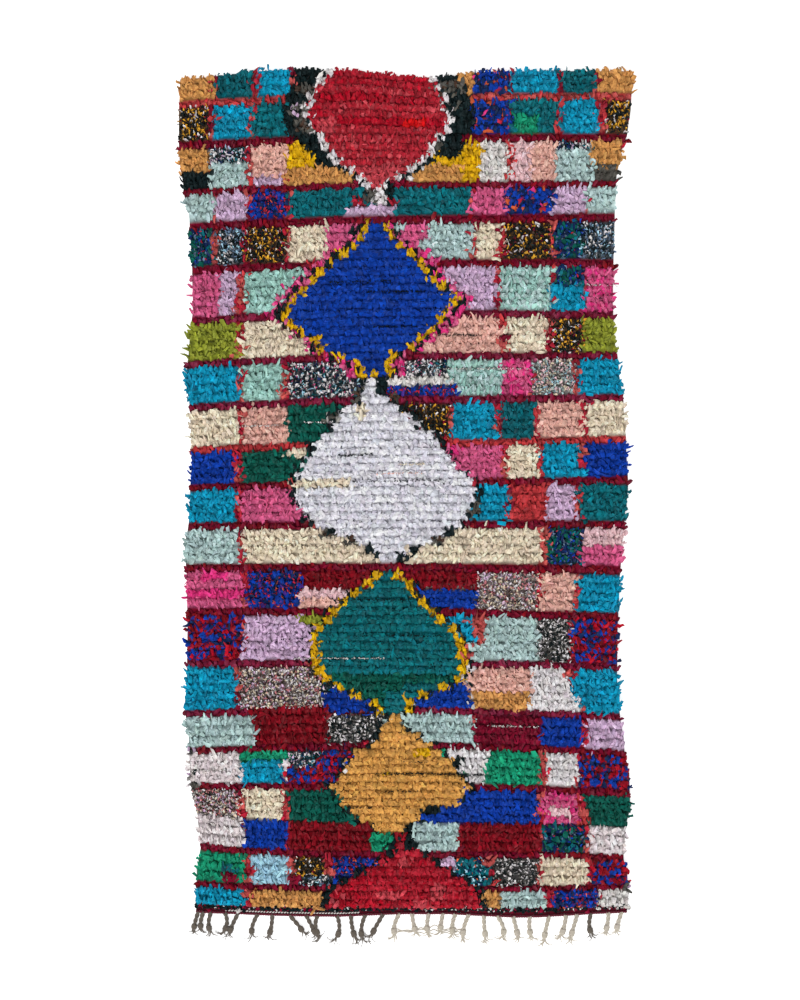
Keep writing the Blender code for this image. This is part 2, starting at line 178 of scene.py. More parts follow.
# The blocks of each band, left to right: cloth, left, right, and where it differs from its band's,
# the first and last row it fills. A list of numbers is an edge that moves from the first row to the last.
blocks = [
    (-0.2, 2.4, [
        ("ochre", far, -575), ("deepTeal", -563, -460), ("sky", -440, -345), ("black", -330, -240),
        ("charcoal", -325, -270, 1.4, 2.6), ("black", 84, 150, -0.2, 0.6),
        ("charcoal", 109, 175, 0.6, 2.4), ("ochre", 175, 210), ("navyMulti", 208, 315),
        ("sky", 322, 458), ("deepTeal", 468, 568), ("ochre", 580, near)]),
    (3.4, 7.0, [
        ("ochreYarn", far, -590), ("sky", -575, -468), ("teal", -455, -355), ("black", -350, -240),
        ("charcoal", -335, -300, 5, 7), ("charcoal", 130, 180), ("ochre", 180, 215, 4.2, 5.4),
        ("navyMulti", 195, 318), ("teal", 318, 455), ("green", 325, 400, 5.2, 7.0),
        ("sky", 465, 578), ("ochreYarn", 600, near)]),
    (8.1, 12.6, [
        ("ochre", far, -590, 8.1, 11.1), ("black", far, -555, 11.0, 12.9),
        ("navySpeckle", -590, -478, 8.1, 9.7), ("paleAqua", -585, -475, 9.7, 12.9),
        ("peach", -460, -355, 8.1, 11.3), ("lilac", -460, -370, 11.3, 12.8),
        ("yellow", -355, -270, 8.1, 10.9), ("ochre", -360, -155, 10.9, 12.8),
        ("ochre", [85, 50, 10], 180, 10.0, 13.0), ("yellow", 170, 245, 8.4, 12.6),
        ("yellow", 85, 180, 9.7, 10.9), ("black", 70, 172, 8.1, 9.8), ("black", -275, -180, 8.1, 11),
        ("greyWhite", 225, 305), ("peach", 322, 455), ("palePink", 322, 378),
        ("paleAqua", 450, 560), ("navySpeckle", 450, 560, 8.1, 8.8),
        ("ochre", 560, 650, 8.1, 11.2), ("charcoal", 560, near, 11.2, 12.6)]),
    (13.4, 16.3, [
        ("paleAqua", far, -575), ("lilac", -570, -478), ("royalMulti", -465, -358),
        ("teal", -350, -115), ("lilac", -178, -30, 15.4, 16.7), ("teal", -30, 195),
        ("pink", 200, 298), ("navyMulti", 298, 455), ("lilac", 445, 540), ("paleAqua", 545, near)]),
    (17.4, 21.3, [
        ("darkMulti", far, -580), ("coral", -580, -565), ("greySpeckle", -565, -485),
        ("ochreYarn", -478, -360), ("cream", -350, [-210, -235]), ("pink", [-228, -245], -150),
        ("pink", -5, 70, 17.3, 19.8), ("paleAqua", 68, 203), ("cream", 212, 284),
        ("brownYarn", 297, 437), ("darkMulti", 447, 528), ("greySpeckle", 528, near)]),
    (22.35, 27.0, [
        ("pink", far, -560), ("lilac", -558, [-503, -515]), ("mint", -480, -350),
        ("lilac", [120, 190], 272), ("mints", 285, 435), ("darkMulti", 447, 538, 22.3, 24.2),
        ("sky", 437, 538, 24.2, 26.9), ("pinks", 542, near)]),
    (28.0, 32.0, [
        ("lime", far, -507), ("cream", -487, [-370, -345, -310, -275]),
        ("peach", [155, 115, 95, 75], 285), ("cream", 305, 425), ("ochreYarn", 440, 530),
        ("lime", 532, near)]),
    (32.85, 36.85, [
        ("sky", far, -503), ("mint", -490, [-360, -380]), ("pinkSpeckle", -350, -130),
        ("pinkSpeckle", -20, 125, 33, 34.6), ("greyWhite", -60, 140, 34.6, 35.9),
        ("royalMulti", -65, 155, 35.9, 37.0), ("mints", [125, 160], 292), ("pinks", 292, 380),
        ("greyYarn", 382, 508), ("sky", 518, near)]),
    (37.85, 41.95, [
        ("cream", far, -500), ("peach", -488, -352), ("darkGreen", -355, [-190, -230, -250, -270]),
        ("charcoal", -240, -195, 38.8, 39.9), ("brownYarn", [15, 35, 50, 85, 105], 132),
        ("sky", 142, 272), ("deepTeal", 290, 387), ("peach", 396, 530), ("cream", 543, near)]),
    (42.85, 46.4, [
        ("royal", far, -510), ("darkGreen", -490, [-300, -320, -345]),
        ("cream", -360, -300, 42.6, 43.8), ("pink", [150, 175, 200], 290),
        ("hotPink", 130, 172, 42.8, 44), ("cream", 307, 398), ("sky", 412, 518),
        ("sky", 412, 545, 45.6, 46.4), ("royal", 542, near)]),
    (47.3, 51.1, [
        ("sky", far, -508), ("pink", -490, [-345, -330, -305]), ("sky", [215, 190], 308),
        ("coralRed", 318, 438), ("lilac", 422, 508), ("teal", 525, near)]),
    (52.05, 55.85, [
        ("paleAqua", far, -500), ("cream", -485, [-270, -190, -150, -95]),
        ("cream", [140, 115, 45, 0], 405), ("greenMulti", 430, 530),
        ("palePink", 533, near, 52, 54), ("pink", 533, near, 54, 56)]),
    (56.9, 61.0, [
        ("darkRed", -315, -90, 56.8, 58.9), ("darkRed", -10, 220, 56.8, 58.6),
        ("pink", far, -490), ("hotPink", far, -487, 58.9, 59.9), ("hotPink", -612, -540, 56.9, 57.8),
        ("royalMulti", -475, -322),
        ("palePink", -320, -160, 58.9, 59.9), ("peach", -320, -185, 59.9, 61.0),
        ("royal", [30, 65], 215, 58.8, 61.0), ("beigeYarn", 217, 398), ("peach", 407, 508),
        ("sky", 518, near)]),
    (61.95, 66.85, [
        ("redBlue", far, -492), ("lilac", -485, -300), ("lime", -318, -190, 61.9, 63.0),
        ("sky", 100, 200, 61.9, 63.0), ("sky", 140, 213, 63.0, 65.0), ("coral", 205, 240),
        ("paleAqua", 240, 398), ("paleAqua", 195, 398, 65.3, 66.8), ("blackWhite", 396, 495),
        ("redBlue", 503, near)]),
    (67.75, 72.4, [
        ("sky", far, -510), ("beigeYarn", -500, -255), ("navySpeckle", -255, -200, 69.6, 70.6),
        ("royal", -250, -140, 70.6, 71.6), ("royal", -245, -60, 71.6, 72.8),
        ("royal", 100, 190, 69.7, 70.7), ("royal", 25, 195, 70.7, 72.4),
        ("peach", [205, 180, 190], 378, 67.7, 70.8), ("ochre", 200, 375, 70.8, 72.4),
        ("white", [400, 385, 380], [480, 500, 525]), ("sky", [510, 500, 530], near)]),
    (73.1, 76.3, [
        ("paleAqua", far, -455), ("darkRed", -455, -235, 72.4, 76.3),
        ("blackWhite", -235, [-65, -75, -95]), ("paleAqua", [0, 25, 35, 80], [200, 205, 215, 225]),
        ("maroon", 205, 405), ("royal", 407, 525), ("lilac", 543, near)]),
    (77.1, 80.9, [
        ("pinkWhite", far, -500), ("sky", -490, -365, 78.2, 80.9), ("green", -498, -345, 77.0, 78.4),
        ("navySpeckle", -345, -245, 76.7, 78.8), ("redBlue", -250, -150, 76.9, 77.9),
        ("redBlue", -270, -180, 77.9, 78.9), ("redBlue", -360, -195, 78.9, 81.0),
        ("white", 115, 250, 76.9, 78.0), ("white", 158, 240, 78.0, 79.6),
        ("white", 190, 243, 79.6, 81.0), ("green", 258, 403), ("white", 425, 515),
        ("redBlue", 522, near)]),
    (81.9, 85.5, [
        ("beigeYarn", far, -500), ("cream", -480, -368), ("darkGreen", -350, [-240, -215, -190, -160]),
        ("royal", [180, 150, 100, 85], 395), ("hotPinks", 408, 520), ("palePink", 430, 495, 83.4, 84.4),
        ("darkGreen", [530, 555], near)]),
    (85.5, 88.8, [
        ("pinkWhite", far, -485), ("royal", -483, -355), ("darkRed", -350, [-100, -45, -105]),
        ("green", -105, -35, 86.8, 89.1), ("paleAqua", [30, 15, 25, 30], [180, 170, 155]),
        ("darkRed", 160, 403), ("greenMulti", 412, 538), ("pinkWhite", 550, near)]),
    (89.5, 92.7, [
        ("green", far, -485), ("lightBlue", -465, -355), ("ochreYarn", -335, -240, 89.5, 91.5),
        ("greySpeckle", -320, -205, 91.4, 93.0), ("royalMulti", -215, -125), ("lilac", 100, 150, 89.3, 91.2),
        ("tealMulti", [145, 155, 180, 200], [235, 250, 255]), ("blackWhite", 262, 398),
        ("cream", 408, 545), ("redBlue", 555, near)]),
    (93.4, 95.4, [
        ("sky", far, -480), ("ochre", -462, -255), ("black", -255, -228), ("black", 205, 235),
        ("ochre", 230, 283), ("paleAqua", 283, 422), ("crimson", 422, 448),
        ("royalMulti", 440, 578), ("greyWhite", 580, near)])]

# The dividers: their row, and the left and right ends of the gap that a medallion leaves in them.
dividers = [
    (2.4, "corals", -360, 165), (7.0, "maroons", -300, 170), (12.6, "maroons", -170, 0),
    (16.3, "maroons", -100, -95), (21.3, "maroons", -285, 95), (27.0, "dustyMaroons", -370, 170),
    (32.0, "dustyMaroons", -255, 40), (36.85, "dustyMaroons", -155, -25), (41.95, "coralRed", -275, 130),
    (46.4, "maroons", -350, 215), (51.1, "maroons", -285, 150), (55.85, "maroons", -20, -20),
    (61.0, "maroons", -210, 100), (66.85, "dustyMaroons", -292, 200), (72.4, "dustyMaroons", -455, -10),
    (76.3, "maroons", -110, 75), (80.9, "maroons", -250, 190), (88.8, "maroons", -60, 60),
    (92.7, "maroons", -240, 205)]

# The medallions: first row, then the left and right end of the field in each row after it.
# rim: the knots along the field's edge, cloth and width, from the field outwards.
medallions = [
    {"field": "redField", "from": 0, "rims": [
        ("white", 22), ("black", [62, 62, 62, 62, 62, 62, 62, 60, 52, 46, 24, 16, 24, 8])],
     "ends": [(-220, 74), (-258, 91), (-268, 101), (-280, 111), (-290, 118), (-280, 124), (-278, 121),
              (-243, 90), (-232, 77), (-207, 63), (-190, 31), (-147, 5), (-112, -50), (-96, -90)]},
    {"field": "blue", "from": 17, "rims": [("yellow", 22), ("black", 22), ("hotPinks", (
        [0, 0, 6, 14, 18, 20, 22, 20, 10, 14, 16, 4, 2, 2, 8, 14, 22, 20],
        [0, 0, 20, 20, 22, 22, 10, 14, 14, 16, 22, 24, 24, 18, 8, 12, 16, 12]))],
     "ends": [(-103, -80), (-117, -62), (-122, -43), (-170, -5), (-198, 20), (-225, 45), (-262, 62),
              (-290, 87), (-320, 137), (-338, 137), (-348, 105), (-335, 93), (-302, 67), (-258, 30),
              (-245, 8), (-182, -50), (-125, -62), (-117, -57)]},
    {"field": "fieldWhite", "from": 35, "rims": [("black", 20)],
     "ends": [(-119, -89), (-131, -80), (-135, -48), (-193, -15), (-211, 22), (-218, 42), (-251, 84),
              (-274, 98), (-276, 121), (-308, 142), (-315, 160), (-331, 199), (-334, 211),
              (-329, 208), (-320, 197), (-295, 188), (-278, 165), (-214, 142), (-147, 75), (-96, 12),
              (-75, -11)]},
    {"field": "greenTeal", "from": 57, "rims": [("yellow", 24), ("black", 16)],
     "ends": [(-71, -41), (-98, 0), (-138, 8), (-173, 33), (-198, 68), (-218, 93), (-245, 128),
              (-262, 148), (-260, 155), (-256, 158), (-256, 160), (-248, 160), (-212, 144),
              (-172, 82), (-110, 0), (-60, -5)]},
    {"field": "fieldOchre", "from": 73, "rims": [("black", 18)],
     "ends": [(-43, -15), (-66, -11), (-78, 30), (-89, 75), (-149, 95), (-168, 146), (-182, 147),
              (-200, 172), (-225, 195), (-203, 172), (-190, 150), (-163, 60), (-125, 15), (-76, 5)]},
    {"field": "redField", "from": 88, "rims": [("black", 22)],
     "ends": [(-35, 15), (-40, 64), (-94, 97), (-139, 142), (-184, 193), (-223, 208), (-235, 223),
              (-235, 223)]}]

# Knots that are on their own, over the rest: cloth, left, right, first row, last row, and at times the
# one cloth that they replace.
strays = [
    ("redDusties", -300, 120, 1.3, 2.7, "redField"), ("redDusties", -200, 120, 3.6, 5.2, "redField"),
    ("redDusties", -300, 120, 6.3, 10.6, "redField"), ("redFaded", -200, 80, 10.6, 13.6, "redField"),
    ("charcoals", 100, 172, 0.5, 2.0), ("charcoals", 118, 172, 3.2, 4.4), ("charcoals", -325, -275, 1.4, 2.6),
    ("charcoals", -335, -288, 5.2, 7.0), ("greys", -346, -302, 3.4, 5.2), ("charcoals", 86, 122, 8.2, 9.3),
    ("redDeep", -262, -60, 2.5, 3.6), ("redDeep", -210, 112, 5.2, 6.3), ("redFaded", -260, -210, 5, 7),
    ("redBright", -10, 58, 5.5, 6.5), ("white", -95, -60, 13.5, 15.4), ("charcoal", -117, -94, 13.5, 15.4),
    ("black", -60, -38, 13.5, 15.4), ("crimson", -158, -128, 14.3, 15.4), ("crimson", -40, -22, 14.3, 15.4),
    ("charcoals", -248, -215, 51.9, 52.9), ("charcoals", -176, -145, 53.0, 53.9),
    ("black", -124, -93, 54.1, 55.0),
    ("black", -27, -12, 55.0, 55.9), ("black", 113, 145, 52.1, 53.2), ("charcoals", 76, 113, 53.3, 54.2),
    ("black", 16, 42, 54.2, 55.1), ("greys", -240, -198, 38.8, 39.8), ("charcoals", 200, 220, 49.3, 51.2),
    ("charcoals", -155, -131, 36.2, 37.6), ("charcoals", -43, -22, 37.2, 38.2),
    ("black", -86, -60, 34.7, 36.9),
    ("yellow", -112, -90, 34.3, 35.2), ("cream", -330, -170, 46.4, 47.3), ("cream", -145, -120, 37.5, 39.5),
    ("darkGreen", -245, 150, 68.3, 69.3, "greenTeal"), ("darkGreen", -200, 0, 69.3, 70.4, "greenTeal"),
    ("darkGreen", -150, -60, 70.4, 72.4, "greenTeal"),
    ("yellow", 22, 72, 77.1, 77.9), ("yellow", -64, -52, 80, 80.9), ("black", 146, 175, 77.9, 79.4),
    ("black", 50, 100, 83.6, 84.6), ("black", -5, 26, 85.4, 88.4), ("redDeep", -32, -3, 86.9, 88.0),
    ("greys", far, -628, 76.6, 77.3),
    ("greys", far, -630, 79.3, 80.1), ("charcoals", far, -622, 80.9, 82.0), ("greys", 650, near, 92.6, 93.6),
    ("black", -45, -20, 86.7, 87.6),
    ("redFaded", -85, -10, 93.6, 94.4), ("redFaded", -228, -196, 94.4, 95.4),
    ("redFaded", -202, -183, 93.4, 94.4), ("redFaded", -20, 14, 89.4, 90.4),
    ("redFaded", 20, 67, 94.4, 95.4), ("redFaded", 76, 120, 92.8, 94.4), ("teal", -545, -512, 90.4, 91.4),
    ("maroon", -543, -508, 91.3, 92.2), ("redDeep", -200, -40, 94.4, 95.4)]

# Loose weft threads that show between the rows: cloth, left, right, row.
wefts = [
    ("black", 103, 216, 30.02), ("black", -200, -95, 43.55), ("black", -175, 10, 46.62),
    ("black", 20, 110, 46.55),
    ("peach", -80, 52, 45.75), ("cream", -15, 60, 44.7), ("greyWhite", -330, -60, 66.75),
    ("black", -150, 110, 64.2),
    ("black", -5, 100, 78.55), ("black", -90, 150, 79.85), ("black", -165, -100, 83.75),
    ("black", -60, 40, 81.9), ("black", -385, -345, 64.55), ("black", -322, -304, 64.5),
    ("black", -412, -398, 65.3),
    ("black", 100, 240, 79.85), ("greyWhite", 250, 400, 74.2),
    ("white", -300, -215, 39.75), ("greyWhite", -500, -380, 39.9), ("black", -120, 60, 25.1),
    ("black", -90, 40, 29.1),
    ("black", -230, -40, 23.9), ("greyWhite", 545, 640, 24.15), ("black", 575, 600, 25.6),
    ("black", -640, -560, 82.5),
    ("greyWhite", -640, -540, 79.0), ("black", -190, 40, 60.1), ("greyWhite", 120, 380, 33.9)]
print("chart ready")

chart = {"edgeScatter": 3.0, "middle": -84, "rowMiddle": 0.45, "darkShare": 0.6}


def linear(colour):
    share = np.asarray(colour, float) / 255
    return np.where(share <= 0.04045, share / 12.92, ((share + 0.055) / 1.055) ** 2.4)


def edgeValue(edge, row, first, last):
    # an edge of a block in a row: a number, or numbers spread over its rows
    if not isinstance(edge, list):
        return np.full(row.shape, float(edge))
    stops = np.linspace(first + 0.5, max(last - 0.5, first + 0.6), len(edge))
    return np.interp(row, stops, edge)


palette = {name: linear(colour) for name, colour in cloths.items()}
clothNames = list(cloths) + list(mixes)


def isCloth(kinds, *names):
    return np.isin(kinds, [clothNames.index(name) for name in names])


def clothAt(across, row, roll):
    # which cloth each knot is, painted in order: separators, blocks, dividers, medallions, strays
    mm = across * 1000 + roll.normal(0, chart["edgeScatter"], across.shape)
    found = np.full(across.shape, clothNames.index("separator"))
    isDivider = np.zeros(across.shape, bool)

    def lay(name, inside, dividing=False):
        found[inside] = clothNames.index(name)
        isDivider[inside] = dividing

    def paint(name, left, right, first, last, dividing=False, within=()):
        inside = (row >= first) & (row < last)
        if within:
            inside &= found == clothNames.index(within[0])
        inside &= (mm >= edgeValue(left, row, first, last)) & (mm < edgeValue(right, row, first, last))
        lay(name, inside, dividing)

    middle = chart["middle"]
    for first, last, band in blocks:
        full = [block for block in band if len(block) == 3]
        inner = [block for block in full if np.min(block[2]) < middle]  # these two run up to the medallion
        outer = [block for block in full if np.max(block[1]) > middle]
        if inner:
            paint(inner[-1][0], inner[-1][2], middle, first, last)
        if outer:
            paint(outer[0][0], middle, outer[0][1], first, last)
        for name, left, right, *span in band:
            paint(name, left, right, *(span or (first, last)))
    for start, name, left, right in dividers:
        stop = [after for after, count in bandStarts if after > start][0]
        paint(name, far, left, start, stop, True)
        paint(name, right, near, start, stop, True)
    for medallion in medallions:
        ends = np.array(medallion["ends"], float)
        start = medallion["from"]
        at = np.arange(start, start + len(ends)) + chart["rowMiddle"]
        inside = (row >= start) & (row < start + len(ends))
        left = np.interp(row, at, ends[:, 0])
        right = np.interp(row, at, ends[:, 1])
        rims = []
        for name, size in medallion["rims"]:
            pair = size if isinstance(size, tuple) else (size, size)
            rims.append((name, [np.interp(row, at, np.broadcast_to(each, at.shape)) for each in pair]))
        width = np.sum([part for name, part in rims], axis=0)
        for name, part in reversed(rims):
            chosen = inside & (mm > left - width[0]) & (mm < right + width[1])
            if name == "black" and medallion["field"] != "redField":
                chosen = chosen & (roll.random(across.shape) < chart["darkShare"])
            lay(name, chosen)
            width = width - part
        lay(medallion["field"], inside & (mm > left) & (mm < right))
    for name, left, right, first, last, *within in strays:
        paint(name, left, right, first, last, False, within)
    return found, isDivider


def deselectAll():
    if bpy.context.mode != "OBJECT":
        bpy.ops.object.mode_set(mode="OBJECT")
    bpy.ops.object.select_all(action="DESELECT")


# The cut strips, three-sided, with a flat side on top or a ridge. Each is modelled once: for every ring
# how far along it is, how high, its width and thickness in millimetres, and its tilt in degrees.
strips = {
    "round": (True, [(0, 15, 8, 5, 0), (4, 22, 11, 6, 8), (12, 27, 11, 6, -8), (20, 22, 7, 4, 10)]),
    "square": (True, [(0, 15, 8, 5, 0), (4, 23, 12, 6, -8), (12, 27, 11, 6, 8), (19, 24, 10, 4, -6)]),
    "upright": (False, [(0, 15, 8, 5, 0), (3, 20, 11, 6, 8), (9, 27, 11, 6, -14), (15, 30, 7, 4, 16)]),
    "lying": (True, [(0, 15, 8, 5, 0), (5, 22, 11, 5, 10), (14, 26, 11, 5, -10), (25, 21, 8, 4, 0)]),
    "twisted": (False, [(0, 15, 8, 6, 0), (4, 21, 10, 6, 25), (12, 26, 10, 6, 45), (22, 23, 6, 4, 70)]),
    "stub": (True, [(0, 15, 8, 5, 0), (3, 23, 12, 6, 6), (8, 28, 12, 6, -8), (14, 27, 10, 5, 8)]),
    "pointed": (False, [(0, 15, 8, 5, 0), (5, 22, 11, 6, -8), (13, 27, 10, 6, 14), (26, 23, 3, 3, 20)]),
    "rib": (True, [(0, 10, 8, 4, 0), (5, 19, 12, 5, 8), (14, 22, 12, 5, -8), (21, 18, 9, 4, 12)]),
    "yarn": (False, [(0, 12, 3.4, 3.4, 0), (6, 25, 4.6, 4, 30), (11, 26, 3.4, 3, 60)]),
    "yarnUp": (False, [(0, 12, 3.4, 3.4, 0), (4, 23, 4.6, 4, -20), (8, 30, 3.4, 3, -50)])}


def modelStrip(name, flat, rings):
    deselectAll()
    bpy.ops.mesh.primitive_cylinder_add(vertices=3, radius=0.5, depth=len(rings) - 1,
                                        rotation=(math.pi / 2, 0, 0), end_fill_type="NGON")
    bpy.ops.object.transform_apply(location=True, rotation=True, scale=True)
    made = bpy.context.object
    made.name = "strip_" + name
    half = (len(rings) - 1) / 2
    upward = -1 if flat else 1
    aside = 100  # a shaped ring waits here, clear of the next one
    bpy.ops.object.mode_set(mode="EDIT")
    for cut in range(1, len(rings) - 1):
        bpy.ops.mesh.select_all(action="SELECT")
        bpy.ops.mesh.bisect(plane_co=(0, cut - half, 0), plane_no=(0, 1, 0))
    for count, (along, high, width, thick, tilt) in enumerate(rings):
        bpy.ops.object.mode_set(mode="OBJECT")
        centre = count - half
        for part in (made.data.polygons, made.data.edges):
            for face in part:
                face.select = False
        for vert in made.data.vertices:
            vert.select = abs(vert.co.y - centre) < 0.01
        bpy.ops.object.mode_set(mode="EDIT")
        bpy.ops.mesh.select_mode(type="VERT")
        bpy.ops.transform.resize(value=(width / 1000, 1, upward * thick / 1000), center_override=(0, centre, 0))
        bpy.ops.transform.rotate(value=math.radians(-tilt), orient_axis="Y", center_override=(0, centre, 0))
        bpy.ops.transform.translate(value=(0, aside + along / 1000 - centre, high / 1000))
    bpy.ops.mesh.select_all(action="SELECT")
    bpy.ops.transform.translate(value=(0, -aside, 0))
    bpy.ops.mesh.normals_make_consistent(inside=False)
    bpy.ops.uv.smart_project(angle_limit=math.radians(80), island_margin=0.04)
    bpy.ops.object.mode_set(mode="OBJECT")
    mesh = made.data
    places = np.empty(len(mesh.vertices) * 3)
    mesh.vertices.foreach_get("co", places)
    uv = np.empty(len(mesh.loops) * 2)
    mesh.uv_layers.active.data.foreach_get("uv", uv)
    loops = np.empty(len(mesh.loops), np.int32)
    mesh.loops.foreach_get("vertex_index", loops)
    sizes = np.array([face.loop_total for face in mesh.polygons])
    bpy.data.objects.remove(made)
    return {"verts": places.reshape(-1, 3), "uv": uv.reshape(-1, 2), "loops": loops, "sizes": sizes, "flat": flat}


models = {name: modelStrip(name, *strip) for name, strip in strips.items()}
print("strips modelled:", {name: len(model["verts"]) for name, model in models.items()})


class Socket:
    # a socket of a shader; maths on it adds Math nodes
    def __init__(self, shader, link):
        self.shader = shader
        self.link = link

    def _math(self, operation, first, second):
        return self.shader.node("ShaderNodeMath", {"operation": operation}, {0: first, 1: second})

    def __add__(self, other):
        return self._math("ADD", self, other)

    __radd__ = __add__

    def __rsub__(self, other):
        return self._math("SUBTRACT", other, self)

    def __mul__(self, other):
        return self._math("MULTIPLY", self, other)

    __rmul__ = __mul__

    def __gt__(self, other):
        return self._math("GREATER_THAN", self, other)


class Shader:
    # the nodes of one material, each made by one call
    def __init__(self, name):
        self.material = bpy.data.materials.new(name)
        self.material.use_nodes = True
        self.tree = self.material.node_tree
        self.principled = self.tree.nodes["Principled BSDF"]

    def node(self, kind, settings=None, values=None, output=0):
        made = self.tree.nodes.new(kind)
        for key, value in (settings or {}).items():
            setattr(made, key, value)
        for key, value in (values or {}).items():
            self.fill(made.inputs[key], value)
        return Socket(self, made.outputs[output])

    def fill(self, socket, value):
        if isinstance(value, Socket):
            self.tree.links.new(value.link, socket)
        else:
            socket.default_value = value

    def mixColours(self, factor, first, second, blend="MIX"):
        return self.node("ShaderNodeMix", {"data_type": "RGBA", "blend_type": blend},
                         {0: factor, 6: first, 7: second}, 2)

    def shaded(self, colour, level):
        # a colour times one level for its three parts
        tone = self.node("ShaderNodeCombineColor", None, {0: level, 1: level, 2: level})
        return self.mixColours(1.0, colour, tone, "MULTIPLY")

    def noise(self, vector, scale, detail, roughness=0.5):
        return self.node("ShaderNodeTexNoise", None,
                         {"Vector": vector, "Scale": scale, "Detail": detail, "Roughness": roughness})

    def wave(self, vector, direction, scale, distortion):
        return self.node("ShaderNodeTexWave", {"wave_type": "BANDS", "bands_direction": direction},
                         {"Vector": vector, "Scale": scale, "Distortion": distortion, "Detail": 2.0}, 1)

    def objectPlace(self):
        return self.node("ShaderNodeTexCoord", output=3)

    def attribute(self, name):
        return self.node("ShaderNodeAttribute", {"attribute_name": name})

    def stretch(self, vector, along):
        return self.node("ShaderNodeMapping", None, {"Vector": vector, "Scale": (1.0, along, 1.0)})

    def bump(self, height, strength, distance):
        return self.node("ShaderNodeBump", None, {"Height": height, "Strength": strength, "Distance": distance})

    def finish(self, **inputs):
        for key, value in inputs.items():
            self.fill(self.principled.inputs[key.replace("_", " ")], value)
        return self.material


def grey(value):
    return (value, value, value, 1.0)


clothLook = {"fleckScale": 900.0, "patchScale": 55.0, "creaseScale": 210.0, "knitScale": 1400.0,
             "level": 0.50, "fleck": 0.26, "patch": 0.22, "creaseAndShade": 0.56,
             "creaseDepth": 0.0035, "knitDepth": 0.0003,
             "roughness": 0.80, "rougher": 0.12, "sheen": 0.03, "sheenRoughness": 0.5, "specular": 0.08}


def makeClothMaterial(name, look):
    # jersey cut into strips: the strip's own colour, flecked and worn, with a fine knit, and painted shade in the
    # hollows of its creases
    shader = Shader(name)
    place = shader.objectPlace()
    fleck = shader.noise(place, look["fleckScale"], 3.0)
    patch = shader.noise(place, look["patchScale"], 2.0)
    creaseAndShade = shader.noise(shader.stretch(place, 0.55), look["creaseScale"], 2.0, 0.6)
    # painted shade and light: the colour follows the crease noise that also bumps the surface, darker in its
    # hollows
    level = look["level"] + fleck * look["fleck"] + patch * look["patch"] + creaseAndShade * look["creaseAndShade"]
    knit = shader.noise(shader.stretch(place, 0.35), look["knitScale"], 2.0)
    return shader.finish(Base_Color=shader.shaded(shader.attribute("strip_colour"), level),
                         Roughness=look["roughness"] + fleck * look["rougher"],
                         Normal=shader.bump(creaseAndShade * look["creaseDepth"] + knit * look["knitDepth"], 1.0, 1.0),
                         Sheen_Weight=look["sheen"], Sheen_Roughness=look["sheenRoughness"],
                         Specular_IOR_Level=look["specular"])


warpLook = {"patchScale": 28.0, "fibreScale": 1500.0, "fibreRoughness": 0.65, "tintScale": 60.0,
            "level": 0.6, "fibre": 0.75, "roughness": 0.85, "rougher": 0.1, "bump": 0.5, "depth": 0.0006,
            "sheen": 0.3, "specular": 0.2}


def makeWarpMaterial(name, pale, dark, warmth, look):
    # twisted wool and cotton ends: fibres along the twist, with dirtier and lighter stretches
    shader = Shader(name)
    place = shader.objectPlace()
    patch = shader.noise(place, look["patchScale"], 3.0)
    fibre = shader.noise(shader.stretch(place, 0.25), look["fibreScale"], 3.0, look["fibreRoughness"])
    tone = shader.mixColours(patch, (*dark, 1.0), (*pale, 1.0))
    tint = shader.mixColours(shader.noise(place, look["tintScale"], 1.0), tone, (*warmth, 1.0))
    return shader.finish(Base_Color=shader.shaded(tint, look["level"] + fibre * look["fibre"]),
                         Roughness=look["roughness"] + fibre * look["rougher"],
                         Normal=shader.bump(fibre, look["bump"], look["depth"]),
                         Sheen_Weight=look["sheen"], Specular_IOR_Level=look["specular"])


groundLook = {"upperFrom": 0.0025, "warpScale": 80.0, "weftScale": 150.0, "fleckScale": 500.0,
              "level": 0.45, "weave": 0.35, "fleck": 0.45, "shaded": 0.45, "roughness": 0.9,
              "bump": 0.6, "depth": 0.001, "specular": 0.2}


def makeGroundMaterial(name, look):
    # the woven ground: the knots show their cloth from below, and lie in shade between the tufts above
    shader = Shader(name)
    place = shader.objectPlace()
    upper = shader.node("ShaderNodeSeparateXYZ", None, {"Vector": place}, 2) > look["upperFrom"]
    weave = shader.wave(place, "X", look["warpScale"], 1.5) * shader.wave(place, "Y", look["weftScale"], 2.5)
    fleck = shader.noise(place, look["fleckScale"], 3.0)
    level = (look["level"] + look["weave"] * weave + look["fleck"] * fleck) * (1 - look["shaded"] * upper)
    return shader.finish(Base_Color=shader.shaded(shader.attribute("knot_colour"), level),
                         Roughness=look["roughness"],
                         Normal=shader.bump(weave + fleck * 0.5, look["bump"], look["depth"]),
                         Specular_IOR_Level=look["specular"])


twineLook = {"scale": 1300.0, "dark": (0.50, 0.47, 0.44), "pale": (0.92, 0.88, 0.84),
             "roughness": 0.8, "rougher": 0.15, "bump": 0.4, "depth": 0.0005, "sheen": 0.3}
headingLook = {"scale": 1100.0, "dark": (0.045, 0.003, 0.010), "pale": (0.20, 0.012, 0.035),
               "roughness": 0.85, "rougher": 0.1, "bump": 0.5, "depth": 0.0006, "sheen": 0.0}


def makeYarnMaterial(name, look):
    # one yarn in two shades of its colour, with its fibres
    shader = Shader(name)
    fibre = shader.noise(shader.objectPlace(), look["scale"], 3.0)
    return shader.finish(Base_Color=shader.mixColours(fibre, (*look["dark"], 1.0), (*look["pale"], 1.0)),
                         Roughness=look["roughness"] + fibre * look["rougher"],
                         Normal=shader.bump(fibre, look["bump"], look["depth"]), Sheen_Weight=look["sheen"])


pileCloth = makeClothMaterial("pile_cloth_jersey", clothLook)
darkWarp = makeWarpMaterial("dark_warp_wool", (0.171, 0.138, 0.117), (0.064, 0.052, 0.047),
                            (0.137, 0.115, 0.086), warpLook)
paleWarp = makeWarpMaterial("pale_warp_cotton", (0.613, 0.550, 0.495), (0.403, 0.342, 0.290),
                            (0.526, 0.484, 0.375), warpLook)
groundWeave = makeGroundMaterial("ground_weave", groundLook)
print("materials ready")


